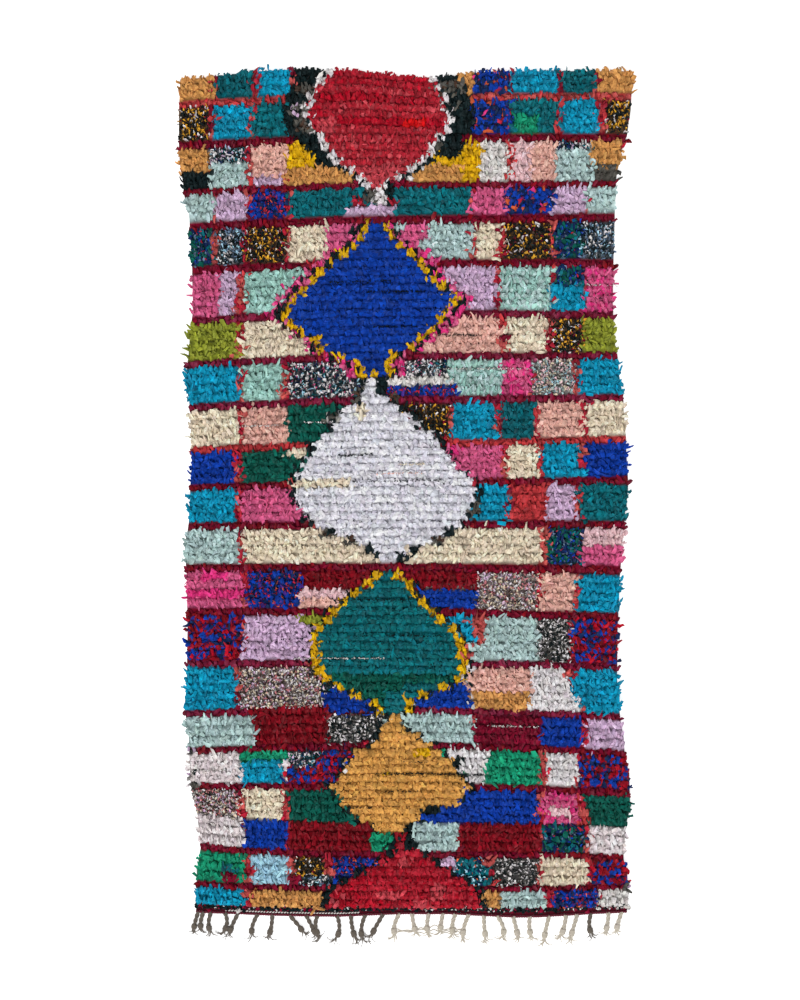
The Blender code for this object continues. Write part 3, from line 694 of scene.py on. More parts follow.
def keepPiece(piece, material, nodes):
    piece.data.materials.clear()
    piece.data.materials.append(material)
    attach(piece, "root")
    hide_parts(*nodes)
    return piece


def paintColours(mesh, name, domain, colours):
    layer = mesh.color_attributes.new(name, "FLOAT_COLOR", domain)
    full = np.ones((len(colours), 4))
    full[:, :3] = colours
    layer.data.foreach_set("color", full.astype(np.float32).ravel())


def meshOf(name, verts, loops, sizes, colours, uv):
    mesh = bpy.data.meshes.new(name)
    mesh.vertices.add(len(verts))
    mesh.vertices.foreach_set("co", np.ascontiguousarray(verts, np.float32).ravel())
    mesh.loops.add(len(loops))
    mesh.loops.foreach_set("vertex_index", loops.astype(np.int32))
    mesh.polygons.add(len(sizes))
    starts = np.concatenate([[0], np.cumsum(sizes)[:-1]]).astype(np.int32)
    mesh.polygons.foreach_set("loop_start", starts)
    mesh.update(calc_edges=True)
    mesh.polygons.foreach_set("use_smooth", np.ones(len(sizes), bool))
    mesh.uv_layers.new(name="OFBake").data.foreach_set("uv", uv.astype(np.float32).ravel())
    paintColours(mesh, "strip_colour", "POINT", colours)
    mesh.validate()
    mesh.set_sharp_from_angle(angle=math.radians(38))
    made = bpy.data.objects.new(name, mesh)
    bpy.context.scene.collection.objects.link(made)
    return made


# how each copy is shaped and coloured, with painted shade low down and a painted highlight on its ridge, mixed
# towards a pale grey
stripLook = {"crumple": np.array([0.0014, 0.0013, 0.0013]), "bendOver": 0.026, "lowest": 0.0012,
             "pressedFrom": 0.0385, "pressed": 0.5,
             "rootShade": 0.58, "shadeFrom": 0.015, "shadeOver": 0.009,
             "halfWidth": 0.0045, "slant": 0.5, "slantMiddle": 0.55, "ridgeLight": (0.80, 0.34),
             "paintedHighlight": np.array([0.30, 0.40, 0.42]), "highlightShare": 0.05, "unevenness": 0.09, "brightest": 0.93}


def copiesOf(model, spots, crumple):
    # many copies of one modelled strip: spots has an array for each of what varies
    look = stripLook
    count = len(spots["x"])
    verts = model["verts"][None] + crumple.normal(0, 1.0, (count, len(model["verts"]), 3)) * look["crumple"]
    along = verts[..., 1] * spots["long"][:, None]
    across = verts[..., 0] * spots["wide"][:, None] + spots["bend"][:, None] * (along / look["bendOver"]) ** 2
    high = verts[..., 2] * spots["high"][:, None]
    high = high + spots["roll"][:, None] * verts[..., 0] + spots["curl"][:, None] * np.abs(verts[..., 0])
    cosine = np.cos(spots["yaw"])[:, None]
    sine = np.sin(spots["yaw"])[:, None]
    x = spots["x"][:, None] + across * cosine - along * sine
    y = spots["y"][:, None] + across * sine + along * cosine
    z = np.maximum(high + spots["lift"][:, None], look["lowest"])
    z = z - (1 - look["pressed"]) * np.maximum(z - look["pressedFrom"], 0)  # the tallest tips lie flatter
    # painted shade: each strip is darker low down, near its root, where shade falls between the tufts
    rootShade = look["rootShade"]
    shade = rootShade + (1 - rootShade) * np.clip((z - look["shadeFrom"]) / look["shadeOver"], 0, 1)
    # painted highlight: the ridge of each strip, or one edge of a flat one, is lighter and mixed towards a pale
    # grey, and its sides darker, as if lit from above
    aside = model["verts"][:, 0] / look["halfWidth"]
    if model["flat"]:
        slant = np.where(crumple.random(count) < 0.5, look["slant"], -look["slant"])[:, None]
        ridge = np.clip(look["slantMiddle"] + slant * aside, 0, 1)
    else:
        ridge = 1 - np.clip(np.abs(aside), 0, 1)
    low, gain = look["ridgeLight"]
    shade = shade * (low + gain * ridge) * crumple.normal(1, look["unevenness"], shade.shape)
    paintedHighlight = (look["highlightShare"] * ridge * crumple.random(shade.shape) * spots["fade"][:, None])[..., None]
    colours = spots["colour"][:, None, :] * shade[..., None] * (1 - paintedHighlight) + look["paintedHighlight"] * paintedHighlight
    return np.stack([x, y, z], axis=-1), colours.clip(0, look["brightest"])


def joinCopies(name, groups):
    # one piece of all the copies, with a cell of the map for each
    crumple = np.random.default_rng(len(name))
    total = sum(len(spots["x"]) for model, spots in groups)
    cells = int(math.ceil(math.sqrt(total)))
    verts, loops, sizes, colours, uvs = [], [], [], [], []
    offset = 0
    placed = 0
    for model, spots in groups:
        count = len(spots["x"])
        if not count:
            continue
        points, colour = copiesOf(model, spots, crumple)
        size = points.shape[1]
        verts.append(points.reshape(-1, 3))
        colours.append(colour.reshape(-1, 3))
        loops.append((model["loops"][None] + (np.arange(count) * size)[:, None]).ravel() + offset)
        sizes.append(np.tile(model["sizes"], count))
        cell = np.arange(placed, placed + count)
        corner = np.stack([cell % cells, cell // cells], axis=-1)[:, None, :]
        uvs.append(((corner + 0.05 + 0.9 * model["uv"][None]) / cells).reshape(-1, 2))
        offset += count * size
        placed += count
    made = meshOf(name, *(np.concatenate(each) for each in (verts, loops, sizes, colours, uvs)))
    print(name, "strips:", total, "faces:", len(made.data.polygons))
    return made


def rowList():
    # the rows of knots: top and bottom of each, and whether it is a band of one row
    rows = []
    stops = [start for start, count in bandStarts[1:]] + [rowsEnd]
    for (start, count), stop in zip(bandStarts, stops):
        height = (stop - start) / count
        for index in range(count):
            rows.append((start + index * height, start + (index + 1) * height, count == 1))
    return rows


dye = {"uneven": 0.07, "unevenDark": 0.10, "unevenStrong": 0.06, "unevenMaroon": 0.5, "range": (0.45, 1.55),
       "patches": 0.10, "warmth": 0.018, "darkest": 0.002, "brightest": 0.92, "separatorKnots": 14}


def coloursFor(kinds, across, row, roll, overlay=False):
    # a colour for every strip: its cloth's, or one of its mix's, uneven from strip to strip and row to row
    out = np.empty((len(kinds), 3))
    for index, name in enumerate(clothNames):
        chosen = kinds == index
        number = int(chosen.sum())
        if not number:
            continue
        if name in mixes:
            parts = curls.get(name, mixes[name]) if overlay else mixes[name]
            shares = np.array(list(parts.values()), float)
            table = np.array([palette[cloth] for cloth in parts])
            drawn = roll.choice(len(table), number, p=shares / shares.sum())
            if name == "separator":  # one cloth for each knot of a row, from a hash of its place
                knot = np.floor(across[chosen] * dye["separatorKnots"])
                spread = np.sin(np.floor(row[chosen]) * 12.99 + knot * 78.23) * 43758.5
                drawn = np.searchsorted(np.cumsum(shares) / shares.sum(), spread - np.floor(spread))
            out[chosen] = table[drawn]
        else:
            out[chosen] = palette[name]
    dark = 1 - out.max(axis=1)
    strong = 1 - out.min(axis=1) / out.max(axis=1)
    uneven = dye["uneven"] + dye["unevenDark"] * dark + dye["unevenStrong"] * strong
    calmed = np.where(isCloth(kinds, "maroons", "dustyMaroons"), dye["unevenMaroon"], 1.0)
    level = (1 + roll.normal(0, 1, len(kinds)) * uneven * calmed).clip(*dye["range"])
    patch = 1.0 + dye["patches"] * np.sin(across * 23.0 + row * 0.9) * np.sin(row * 2.3 + across * 9.0)
    warm = roll.normal(0, dye["warmth"], (len(kinds), 3))
    return (out * (level * patch)[:, None] * (1 + warm)).clip(dye["darkest"], dye["brightest"])


rowLook = {"sideInset": 0.005, "scatter": 0.28, "rootScatter": 0.04}


def sampleRows(spacing, subRows, roll):
    # places of strips along every row: across, row, root, which of its sub-rows, if it is on its own
    parts = []
    inset = rowLook["sideInset"]
    for top, bottom, single in rowList():
        for part, share in enumerate(subRows):
            middle = (top + bottom) / 2
            left, right = edgesAt(middle)
            count = int((right - left - 2 * inset) / spacing)
            x = np.linspace(left + inset, right - inset, count)
            x = x + roll.normal(0, spacing * rowLook["scatter"], count)
            root = top + (bottom - top) * share + roll.normal(0, rowLook["rootScatter"], count)
            parts.append(np.stack([x, np.full(count, middle), root, np.full(count, part),
                                   np.full(count, single)], axis=-1))
    return np.concatenate(parts)


# the drawn size and lie of each strip, and the weight of the painted highlight on its ridge
tuft = {"wide": (0.70, 1.25), "long": (1.02, 0.20), "longRange": (0.6, 1.6), "high": (1.0, 0.10),
        "highRange": (0.75, 1.22), "bend": 0.0040, "roll": 0.30, "curl": 0.30, "lift": 0.001, "fade": (0, 2),
        "sideZone": 0.016, "sideTurn": (0.2, 1.3), "sideShort": 0.25, "sideLow": 0.22,
        "turnedBack": 0.78, "turnedUntil": 94, "reachFrom": 0.12, "reachOver": 0.9, "reachLeast": 0.35}


def spotsFrom(x, row, root, kinds, roll, yawSpread, edgeTurn, turnedShare=0.0, overlay=False):
    count = len(x)
    left, right = edgesAt(row)
    toLeft = np.clip(1 - (x - left) / tuft["sideZone"], 0, 1)
    toRight = np.clip(1 - (right - x) / tuft["sideZone"], 0, 1)
    yaw = np.radians(roll.normal(0, yawSpread, count))
    yaw = yaw + edgeTurn * (toLeft - toRight) * roll.uniform(*tuft["sideTurn"], count)
    sideways = np.maximum(toLeft, toRight)
    turned = (roll.random(count) < turnedShare) & (sideways == 0) & (row < tuft["turnedUntil"])
    yaw = yaw + np.where(turned, math.pi, 0)
    root = root - np.where(turned, tuft["turnedBack"], 0)
    reach = np.clip((root + tuft["reachFrom"]) / tuft["reachOver"], tuft["reachLeast"], 1)
    reach = np.where(turned, 1, reach)  # the tips end at the far edge
    short = 1 - tuft["sideShort"] * sideways
    return {"x": x, "y": rowToY(x, root), "yaw": yaw, "wide": roll.uniform(*tuft["wide"], count),
            "long": roll.normal(*tuft["long"], count).clip(*tuft["longRange"]) * short * reach,
            "high": roll.normal(*tuft["high"], count).clip(*tuft["highRange"]) * (1 - tuft["sideLow"] * sideways),
            "bend": roll.normal(0, tuft["bend"], count), "roll": roll.normal(0, tuft["roll"], count),
            "curl": roll.normal(0, tuft["curl"], count), "lift": roll.normal(0, tuft["lift"], count),
            "fade": roll.uniform(*tuft["fade"], count), "colour": coloursFor(kinds, x, row, roll, overlay)}


def pick(spots, chosen):
    return {key: value[chosen] for key, value in spots.items()}


def joinSpots(parts):
    return {key: np.concatenate([part[key] for part in parts]) for key in parts[0]}


def groupBy(weights, spots, roll):
    # shares the spots out between several modelled strips
    shares = np.array(list(weights.values()), float)
    kind = roll.choice(len(shares), len(spots["x"]), p=shares / shares.sum())
    return [(models[name], pick(spots, kind == index)) for index, name in enumerate(weights)]


pile = {"seed": 7, "splits": (-0.33, 0.30), "yarnSplit": -0.065,
        "spacing": 0.0074, "subRows": (0.70, 0.98), "yawSpread": 36.0, "rootSpread": 0.12, "edgeTurn": 1.0,
        "turnedShare": 0.14, "calmFrom": 73.0, "calmYaw": 0.8, "fieldYaw": 0.45, "rimYaw": 0.5,
        "fieldEvenness": 0.62, "fieldShort": 0.78,
        "ribSpacing": 0.0058, "ribRow": 1.05, "ribYaw": 32.0, "ribSpread": 0.08, "ribHigh": 0.95, "thinTurn": 0.3,
        "yarnSpacing": 0.0038, "yarnRows": (0.42, 0.70, 0.98), "yarnYaw": 55.0,
        "curlShare": 0.30, "curlLift": 0.003, "lightFrom": 0.4, "lightLift": 0.003,
        "fieldWidths": {"redField": 1.15, "redDusties": 1.15, "blue": 1.55, "fieldWhite": 1.45,
                        "greenTeal": 1.4, "fieldOchre": 1.3},
        "flaps": {"round": 5, "square": 5, "upright": 3, "lying": 3, "twisted": 2, "stub": 3, "pointed": 3}}

thinKinds = np.array([name in thinYarns for name in clothNames])
curlKinds = np.array([name in curls for name in clothNames])
fieldWidths = np.array([pile["fieldWidths"].get(name, 0) for name in clothNames])
fieldKinds = fieldWidths > 0
roll = np.random.default_rng(pile["seed"])
pieces = []

# the broad strips
atX, atRow, root, subRow = sampleRows(pile["spacing"], pile["subRows"], roll).T[:4]
kinds, dividing = clothAt(atX, atRow, roll)
inField = fieldKinds[kinds]
calmRow = inField | (atRow > pile["calmFrom"])
root = root + np.where(calmRow, 0, roll.normal(0, pile["rootSpread"], len(root)))
spots = spotsFrom(atX, atRow, root, kinds, roll, pile["yawSpread"], pile["edgeTurn"], pile["turnedShare"])
calm = np.where(calmRow, pile["calmYaw"], 1.0)
calm = np.where(isCloth(kinds, "white", "yellow", "black", "hotPinks"), pile["rimYaw"], calm)
calm = np.where(inField, pile["fieldYaw"], calm)
turn = np.rint(spots["yaw"] / math.pi) * math.pi
spots["yaw"] = turn + (spots["yaw"] - turn) * calm
spots["wide"] = spots["wide"] * np.maximum(fieldWidths[kinds], 1)
for key in ("long", "high"):
    spots[key] = 1 + (spots[key] - 1) * np.where(inField, pile["fieldEvenness"], 1.0)
spots["long"] = spots["long"] * np.where(inField & (subRow == 0), pile["fieldShort"], 1.0)
broad = ~dividing & ~thinKinds[kinds]
around = broad & ~inField
first, second = pile["splits"]
sides = {"pile_left": around & (atX < first), "pile_middle": around & (atX >= first) & (atX < second),
         "pile_right": around & (atX >= second),
         "pile_fields_low": broad & inField & (subRow == 1), "pile_fields_high": broad & inField & (subRow == 0)}
for name, chosen in sides.items():
    pieces.append(joinCopies(name, groupBy(pile["flaps"], pick(spots, chosen), roll)))

# the smooth rows of the dividers
samples = sampleRows(pile["ribSpacing"], (pile["ribRow"],), roll)
atX, atRow, root = samples[samples[:, 4] == 1].T[:3]
kinds, dividing = clothAt(atX, atRow, roll)
root = root + roll.normal(0, pile["ribSpread"], len(root))
ribs = pick(spotsFrom(atX, atRow, root, kinds, roll, pile["ribYaw"], pile["thinTurn"]), dividing)
ribs["high"] = ribs["high"] * pile["ribHigh"]
pieces.append(joinCopies("pile_dividers", groupBy({"rib": 5, "round": 1}, ribs, roll)))

# the narrow yarn of the speckled blocks, and the curls that lie over some cloths
atX, atRow, root = sampleRows(pile["yarnSpacing"], pile["yarnRows"], roll).T[:3]
kinds, dividing = clothAt(atX, atRow, roll)
root = root + roll.normal(0, pile["rootSpread"], len(root))
spots = spotsFrom(atX, atRow, root, kinds, roll, pile["yarnYaw"], pile["thinTurn"], overlay=True)
thin = (thinKinds[kinds] | (curlKinds[kinds] & (roll.random(len(kinds)) < pile["curlShare"]))) & ~dividing
spots["lift"] = spots["lift"] + np.where(curlKinds[kinds], pile["curlLift"], 0)
spots["lift"] = spots["lift"] + np.where(spots["colour"].max(axis=1) > pile["lightFrom"], pile["lightLift"], 0)
for name, chosen in (("pile_yarn_left", thin & (atX < pile["yarnSplit"])),
                     ("pile_yarn_right", thin & (atX >= pile["yarnSplit"]))):
    pieces.append(joinCopies(name, groupBy({"yarn": 3, "yarnUp": 2}, pick(spots, chosen), roll)))


def gridOf(name, columns, lines):
    # a flat grid with a row of points for each line: the piece, how far across each point is, its line
    deselectAll()
    bpy.ops.mesh.primitive_grid_add(x_subdivisions=columns, y_subdivisions=len(lines) - 1, size=1)
    made = bpy.context.object
    made.name = name
    co = np.empty(len(made.data.vertices) * 3)
    made.data.vertices.foreach_get("co", co)
    co = co.reshape(-1, 3)
    line = np.rint((0.5 - co[:, 1]) * (len(lines) - 1)).astype(int)
    return made, co[:, 0] + 0.5, line


# the heights of the base, and the painted shade that darkens it under the tufts
base = {"columns": 150, "lines": (0.3, 0.7, 1.0), "grooveBack": 0.2, "uneven": 0.0010,
        "high": 0.0225, "divider": 0.0140, "low": 0.0165, "fieldLow": 0.0195,
        "yarnHigh": 0.0155, "yarnLow": 0.0125,
        "rim": 0.004, "rimWidth": 0.012, "rimLines": 2.0,
        "shade": 0.80, "grooveShade": 0.42, "fieldShade": 0.55, "underYarnShade": 0.62}


def makePileBase(roll):
    # the tied part of the knots, which fills the pile below the cut ends and sinks between the rows
    rows = rowList()
    lines = [rows[0][0] + base["lines"][0]]
    low = [False]
    for top, bottom, single in rows:
        lines += [top + (bottom - top) * share for share in base["lines"]]
        low += [single] * 3
    lines = np.array(lines[:-1] + [plan["rows"]])
    made, across, line = gridOf("pile_base", base["columns"], lines)
    row = lines[line]
    left, right = edgesAt(row)
    x = left + (right - left) * across
    groove = line % 3 == 0
    kinds = clothAt(x, np.where(groove, row - base["grooveBack"], row), roll)[0]
    inField = fieldKinds[kinds]
    high = np.where(np.array(low)[line], base["divider"], base["high"])
    high = np.where(groove, np.where(inField, base["fieldLow"], base["low"]), high)
    high = np.where(thinKinds[kinds], np.where(groove, base["yarnLow"], base["yarnHigh"]), high)
    high = high + roll.normal(0, base["uneven"], len(x))
    rim = np.minimum(np.minimum(x - left, right - x) / base["rimWidth"],
                     np.minimum(line, len(lines) - 1 - line) / base["rimLines"])
    high = base["rim"] + (high - base["rim"]) * np.clip(rim, 0, 1) ** 0.5
    made.data.vertices.foreach_set("co", np.stack([x, rowToY(x, row), high], axis=-1).ravel())
    colours = coloursFor(kinds, x, row, roll)
    # painted shade: under the narrow yarn the base takes the mean colour of the mix, darkened
    for index in np.flatnonzero(thinKinds):
        shares = mixes[clothNames[index]]
        under = sum(palette[cloth] * share for cloth, share in shares.items()) / sum(shares.values())
        colours[kinds == index] = under * base["underYarnShade"]
    # painted shade: the whole base is darkened under the tufts, and more in the grooves between the rows
    shade = np.where(groove, np.where(inField, base["fieldShade"], base["grooveShade"]), base["shade"])
    paintColours(made.data, "strip_colour", "POINT", colours * shade[:, None])
    bpy.ops.object.shade_smooth()
    deselectAll()
    return made


pieces.append(makePileBase(roll))

weft = {"seed": 21, "stitch": 3.2, "seen": 0.72, "below": 0.06, "scatter": 0.0006, "wander": 0.0008,
        "yaw": 0.25, "wide": (0.6, 1.0), "long": (0.4, 0.62), "high": (0.98, 1.12), "bend": 0.002,
        "roll": 0.2, "curl": 0.2, "lift": (0.0040, 0.001), "level": (1, 0.12), "levelRange": (0.6, 1.3)}


def makeWefts(turn):
    # thin threads that dip into the groove between two rows and come up again
    parts = []
    for name, start, stop, row in wefts:
        count = int((stop - start) / weft["stitch"])
        x = np.linspace(start, stop, count) / 1000 + turn.normal(0, weft["scatter"], count)
        x = x[turn.random(count) < weft["seen"]]
        number = len(x)
        spots = {"x": x, "y": rowToY(x, row + weft["below"]) + turn.normal(0, weft["wander"], number),
                 "yaw": math.pi / 2 + turn.normal(0, weft["yaw"], number)}
        for key in ("wide", "long", "high"):
            spots[key] = turn.uniform(*weft[key], number)
        for key in ("bend", "roll", "curl"):
            spots[key] = turn.normal(0, weft[key], number)
        spots["lift"] = turn.normal(*weft["lift"], number)
        # no painted highlight on the weft threads
        spots["fade"] = np.zeros(number)
        spots["colour"] = palette[name] * turn.normal(*weft["level"], (number, 1)).clip(*weft["levelRange"])
        parts.append(spots)
    return joinCopies("pile_wefts", groupBy({"yarn": 4, "yarnUp": 1}, joinSpots(parts), turn))


pieces.append(makeWefts(np.random.default_rng(weft["seed"])))
for piece in pieces:
    keepPiece(piece, pileCloth, ["pile_rug"])
print("pile ready")

ground = {"seed": 3, "columns": 100, "thickness": 0.0042, "floorGap": 0.0004, "bandRows": 3, "maroonFrom": 0.66}


def makeGround():
    # the sheet that the knots are tied on, with the flat-woven end in front of it
    bandLines = plan["bandWidth"] / rowPitch
    lines = [0.0] + [bottom for top, bottom, single in rowList()]
    lines[-1] = plan["rows"]
    lines += [plan["rows"] + bandLines * (step + 1) / ground["bandRows"] for step in range(ground["bandRows"])]
    lines = np.array(lines)
    made, across, line = gridOf("ground_weave", ground["columns"], lines)
    mesh = made.data
    row = lines[line]
    left, right = edgesAt(row)
    x = left + (right - left) * across
    inPile = np.minimum(row, plan["rows"])
    y = rowToY(x, inPile) - (row - inPile) * rowPitch * (bandAt(x) / plan["bandWidth"])
    mesh.vertices.foreach_set("co", np.stack([x, y, np.full(len(x), ground["thickness"])], axis=-1).ravel())
    mesh.update()
    turn = np.random.default_rng(ground["seed"])
    centres = np.empty(len(mesh.polygons) * 3)
    mesh.polygons.foreach_get("center", centres)
    loops = np.empty(len(mesh.loops), np.int32)
    mesh.loops.foreach_get("vertex_index", loops)
    faceRow = row[loops.reshape(-1, 4)].mean(axis=1)
    faceX = centres.reshape(-1, 3)[:, 0]
    kinds = clothAt(faceX, faceRow, turn)[0]
    colours = coloursFor(kinds, faceX, faceRow, turn)
    inEnd = faceRow > plan["rows"]
    colours[inEnd] = palette["black"] * turn.uniform(0.6, 1.3, (int(inEnd.sum()), 1))
    lower = faceRow > plan["rows"] + bandLines * ground["maroonFrom"]
    colours[lower] = palette["maroon"] * turn.uniform(0.6, 1.2, (int(lower.sum()), 1))
    paintColours(mesh, "knot_colour", "CORNER", np.repeat(colours, 4, axis=0))
    thick = made.modifiers.new("thickness", "SOLIDIFY")
    thick.thickness = ground["thickness"] - ground["floorGap"]
    thick.offset = -1
    bpy.ops.object.modifier_apply(modifier="thickness")
    bpy.ops.object.shade_smooth_by_angle(angle=math.radians(40))
    return made


groundPiece = makeGround()
keepPiece(groundPiece, groundWeave, ["pile_rug"])
print("ground ready")


def makeTubes(name, paths):
    # tubes of yarn: a curve object of many open splines, made into one mesh
    curve = bpy.data.curves.new(name, "CURVE")
    curve.dimensions = "3D"
    curve.bevel_depth = 0.001  # a radius of 1 is a millimetre
    curve.bevel_resolution = 1
    curve.use_fill_caps = True
    for points, radii in paths:
        spline = curve.splines.new("POLY")
        spline.points.add(len(points) - 1)
        for spot, place, radius in zip(spline.points, points, radii):
            spot.co = (*place, 1.0)
            spot.radius = radius * 1000
    made = bpy.data.objects.new(name, curve)
    bpy.context.scene.collection.objects.link(made)
    deselectAll()
    made.select_set(True)
    bpy.context.view_layer.objects.active = made
    bpy.ops.object.convert(target="MESH")
    made = bpy.context.object
    made.data.polygons.foreach_set("use_smooth", np.ones(len(made.data.polygons), bool))
    print(name, "faces:", len(made.data.polygons))
    return made


def twistedPair(centres, offset, radius, turns, flat=1.0, phase=0.0):
    # two plies wound round a path that lies on the floor
    paths = []
    last = len(centres) - 1
    for ply in range(2):
        points = []
        for index, centre in enumerate(centres):
            ahead = (Vector(centres[min(index + 1, last)]) - Vector(centres[max(index - 1, 0)])).normalized()
            side = Vector((-ahead.y, ahead.x, 0)).normalized()
            angle = phase + ply * math.pi + index / last * turns * 2 * math.pi
            upward = Vector((0, 0, 1)) * math.sin(angle) * offset * flat
            points.append(Vector(centre) + side * math.cos(angle) * offset + upward)
        paths.append((points, [radius] * len(centres)))
    return paths


endBand = {"seed": 11, "twineStart": -0.541, "twineEnd": -0.137, "twineBack": 0.0045, "dash": 0.0088,
           "dashLow": 0.0070, "dashHigh": 0.0088, "dashSlope": 0.0014, "dashRadii": (0.0015, 0.0023, 0.0014),
           "fuzzSpacing": 0.0040, "fuzzInset": 0.003, "fuzzRows": (0.08, 0.28, 0.48, 0.68),
           "scatter": 0.0015, "whites": 0.05, "middle": (0.0, 0.30), "whitesMiddle": 0.22,
           "rightFrom": 0.56, "whitesRight": 0.4, "maroons": 0.22,
           "level": (1, 0.2), "levelRange": (0.5, 1.5), "bright": 1.9, "yaw": 1.1, "wide": (0.8, 1.3),
           "long": (0.35, 0.6), "high": (0.30, 0.48), "lower": 0.06, "bend": 0.003, "roll": 0.3, "curl": 0.3,
           "lift": 0.003}


def makeTwine():
    # the twined line, a dash for each turn
    paths = []
    x = endBand["twineStart"]
    step = endBand["dash"]
    low, high, slope = endBand["dashLow"], endBand["dashHigh"], endBand["dashSlope"]
    while x < endBand["twineEnd"]:
        y = float(endOf(x)) + endBand["twineBack"]
        paths.append(([(x, y - slope, low), (x + step * 0.35, y, high), (x + step * 0.70, y + slope, low)],
                      endBand["dashRadii"]))
        x += step
    return makeTubes("end_twine", paths)


def makeFuzz(turn):
    # the cut yarn ends that lie over the flat-woven end
    parts = []
    left, right = edgesAt(plan["rows"])
    count = int((right - left) / endBand["fuzzSpacing"])
    for part, share in enumerate(endBand["fuzzRows"]):
        x = np.linspace(left + endBand["fuzzInset"], right - endBand["fuzzInset"], count)
        x = x + turn.normal(0, endBand["scatter"], count)
        middle = (x > endBand["middle"][0]) & (x < endBand["middle"][1])
        white = turn.random(count) < np.where(middle, endBand["whitesMiddle"], endBand["whites"])
        white = white | ((x > endBand["rightFrom"]) & (turn.random(count) < endBand["whitesRight"]))
        maroon = turn.random(count) < endBand["maroons"]
        colour = np.where(white[:, None], palette["greyWhite"], palette["black"])
        colour = np.where((maroon & ~white)[:, None], palette["maroon"], colour)
        colour = colour * turn.normal(*endBand["level"], (count, 1)).clip(*endBand["levelRange"])
        spots = {"x": x, "y": nearEdge(x) + (endOf(x) - nearEdge(x)) * share,
                 "yaw": turn.normal(0, endBand["yaw"], count)}
        for key in ("wide", "long", "high"):
            spots[key] = turn.uniform(*endBand[key], count)
        for key in ("bend", "roll", "curl"):
            spots[key] = turn.normal(0, endBand[key], count)
        spots["high"] = spots["high"] * (1 - part * endBand["lower"])
        spots["lift"] = np.full(count, endBand["lift"])
        # the full painted highlight on the fuzz
        spots["fade"] = np.ones(count)
        spots["colour"] = colour * endBand["bright"]
        parts.append(spots)
    return joinCopies("end_fuzz", groupBy({"yarn": 3, "rib": 1}, joinSpots(parts), turn))


dashes = makeTwine()
fuzz = makeFuzz(np.random.default_rng(endBand["seed"]))
keepPiece(dashes, makeYarnMaterial("twine_cotton", twineLook), ["pile_rug"])
keepPiece(fuzz, pileCloth, ["pile_rug"])

# The tassels, in millimetres: root across the rug, how far the middle bows, how far the tip leans, reach.
darkTassels = [
    (-624, -4, -16, 74), (-608, -6, -6, 68), (-585, -8, 2, 78), (-543, 10, -14, 78), (-504, -6, -34, 82),
    (-445, -10, -18, 84), (-401, 2, -16, 86), (-348, 8, 54, 70), (-298, 4, 40, 78), (-265, -10, 14, 82),
    (-206, 10, -10, 92), (-164, -2, 20, 92), (-121, -10, -6, 96), (-68, -6, -46, 86)]
paleTassels = [
    (-18, -12, -12, 88), (20, -2, 20, 78), (70, -4, -4, 76), (112, -2, -10, 70), (150, -8, -4, 82),
    (190, -8, -20, 90), (236, -2, 10, 94), (276, 12, 18, 80), (324, 2, 20, 80), (374, -4, 8, 78),
    (432, -4, -20, 96), (482, 2, -22, 82), (516, -2, -28, 94), (610, 2, -14, 76), (650, -4, -20, 74)]
strayTassels = [(558, -8, 8, 84)]
tassel = {"seed": 5, "rootAt": 0.6, "points": 26, "height": 0.0066, "bowOver": 0.9, "leanPower": 1.35,
          "plyRadius": 0.0042, "plyOffset": 0.0031, "turnsPerMetre": 36, "flatness": 0.6,
          "knotAt": 0.58, "knotHeight": 0.0080, "knotRadius": 0.0046, "knotOffset": 0.0054, "knotTurns": 1.7,
          "knotFlatness": 0.5, "threadRadius": 0.0021, "threadPoints": 9, "darkThreads": 7, "paleThreads": 9,
          "threadLong": (0.5, 1.08), "threadThick": (0.55, 1.15), "threadTaper": 0.5, "threadAside": 0.0048,
          "threadHigh": 0.0042, "threadLow": 0.0026, "threadRise": 0.0014, "swing": 0.45, "curl": 1.6,
          "curlSpread": 0.6}
heading = {"split": -0.042, "splitGap": 0.0006, "step": 0.0035, "height": 0.0050,
           "radius": 0.0030, "offset": 0.0018, "turnsPerStep": 0.24}


def makeHeading(left, right):
    # the cord of two plies that the warp ends come out of
    centres = []
    x = left
    while x < right:
        centres.append((x, float(endOf(x)) - plan["seamGap"] - plan["headingWidth"] / 2, heading["height"]))
        x += heading["step"]
    return twistedPair(centres, heading["offset"], heading["radius"], len(centres) * heading["turnsPerStep"])


def tasselPath(one, top):
    # the middle line of a tassel, eased through its bow and lean
    root, bow, lean, reach = [value / 1000 for value in one]
    points = []
    for index in range(tassel["points"]):
        along = index / (tassel["points"] - 1)
        bowed = bow * math.sin(min(along / tassel["bowOver"], 1.0) * math.pi)
        leaned = lean * along ** tassel["leanPower"]
        points.append((root + bowed + leaned, top - reach * along, tassel["height"]))
    return points


def makeThread(start, tail, turn):
    # one loose thread of a tassel's end
    side = turn.uniform(-1, 1)
    length = turn.uniform(*tassel["threadLong"])
    curl = turn.uniform(-tassel["curlSpread"], tassel["curlSpread"])
    last = tassel["threadPoints"] - 1
    points = []
    for index in range(last + 1):
        share = index / last
        angle = side * tassel["swing"] * share + curl * share * share * tassel["curl"]
        place = start + (Matrix.Rotation(angle, 3, "Z") @ tail) * share * length
        place.x += side * tassel["threadAside"]
        place.z = tassel["threadHigh"] * (1 - share) + tassel["threadLow"] + tassel["threadRise"] * turn.random()
        points.append(tuple(place))
    thick = tassel["threadRadius"] * turn.uniform(*tassel["threadThick"])
    return points, [thick * (1 - tassel["threadTaper"] * index / last) for index in range(last + 1)]


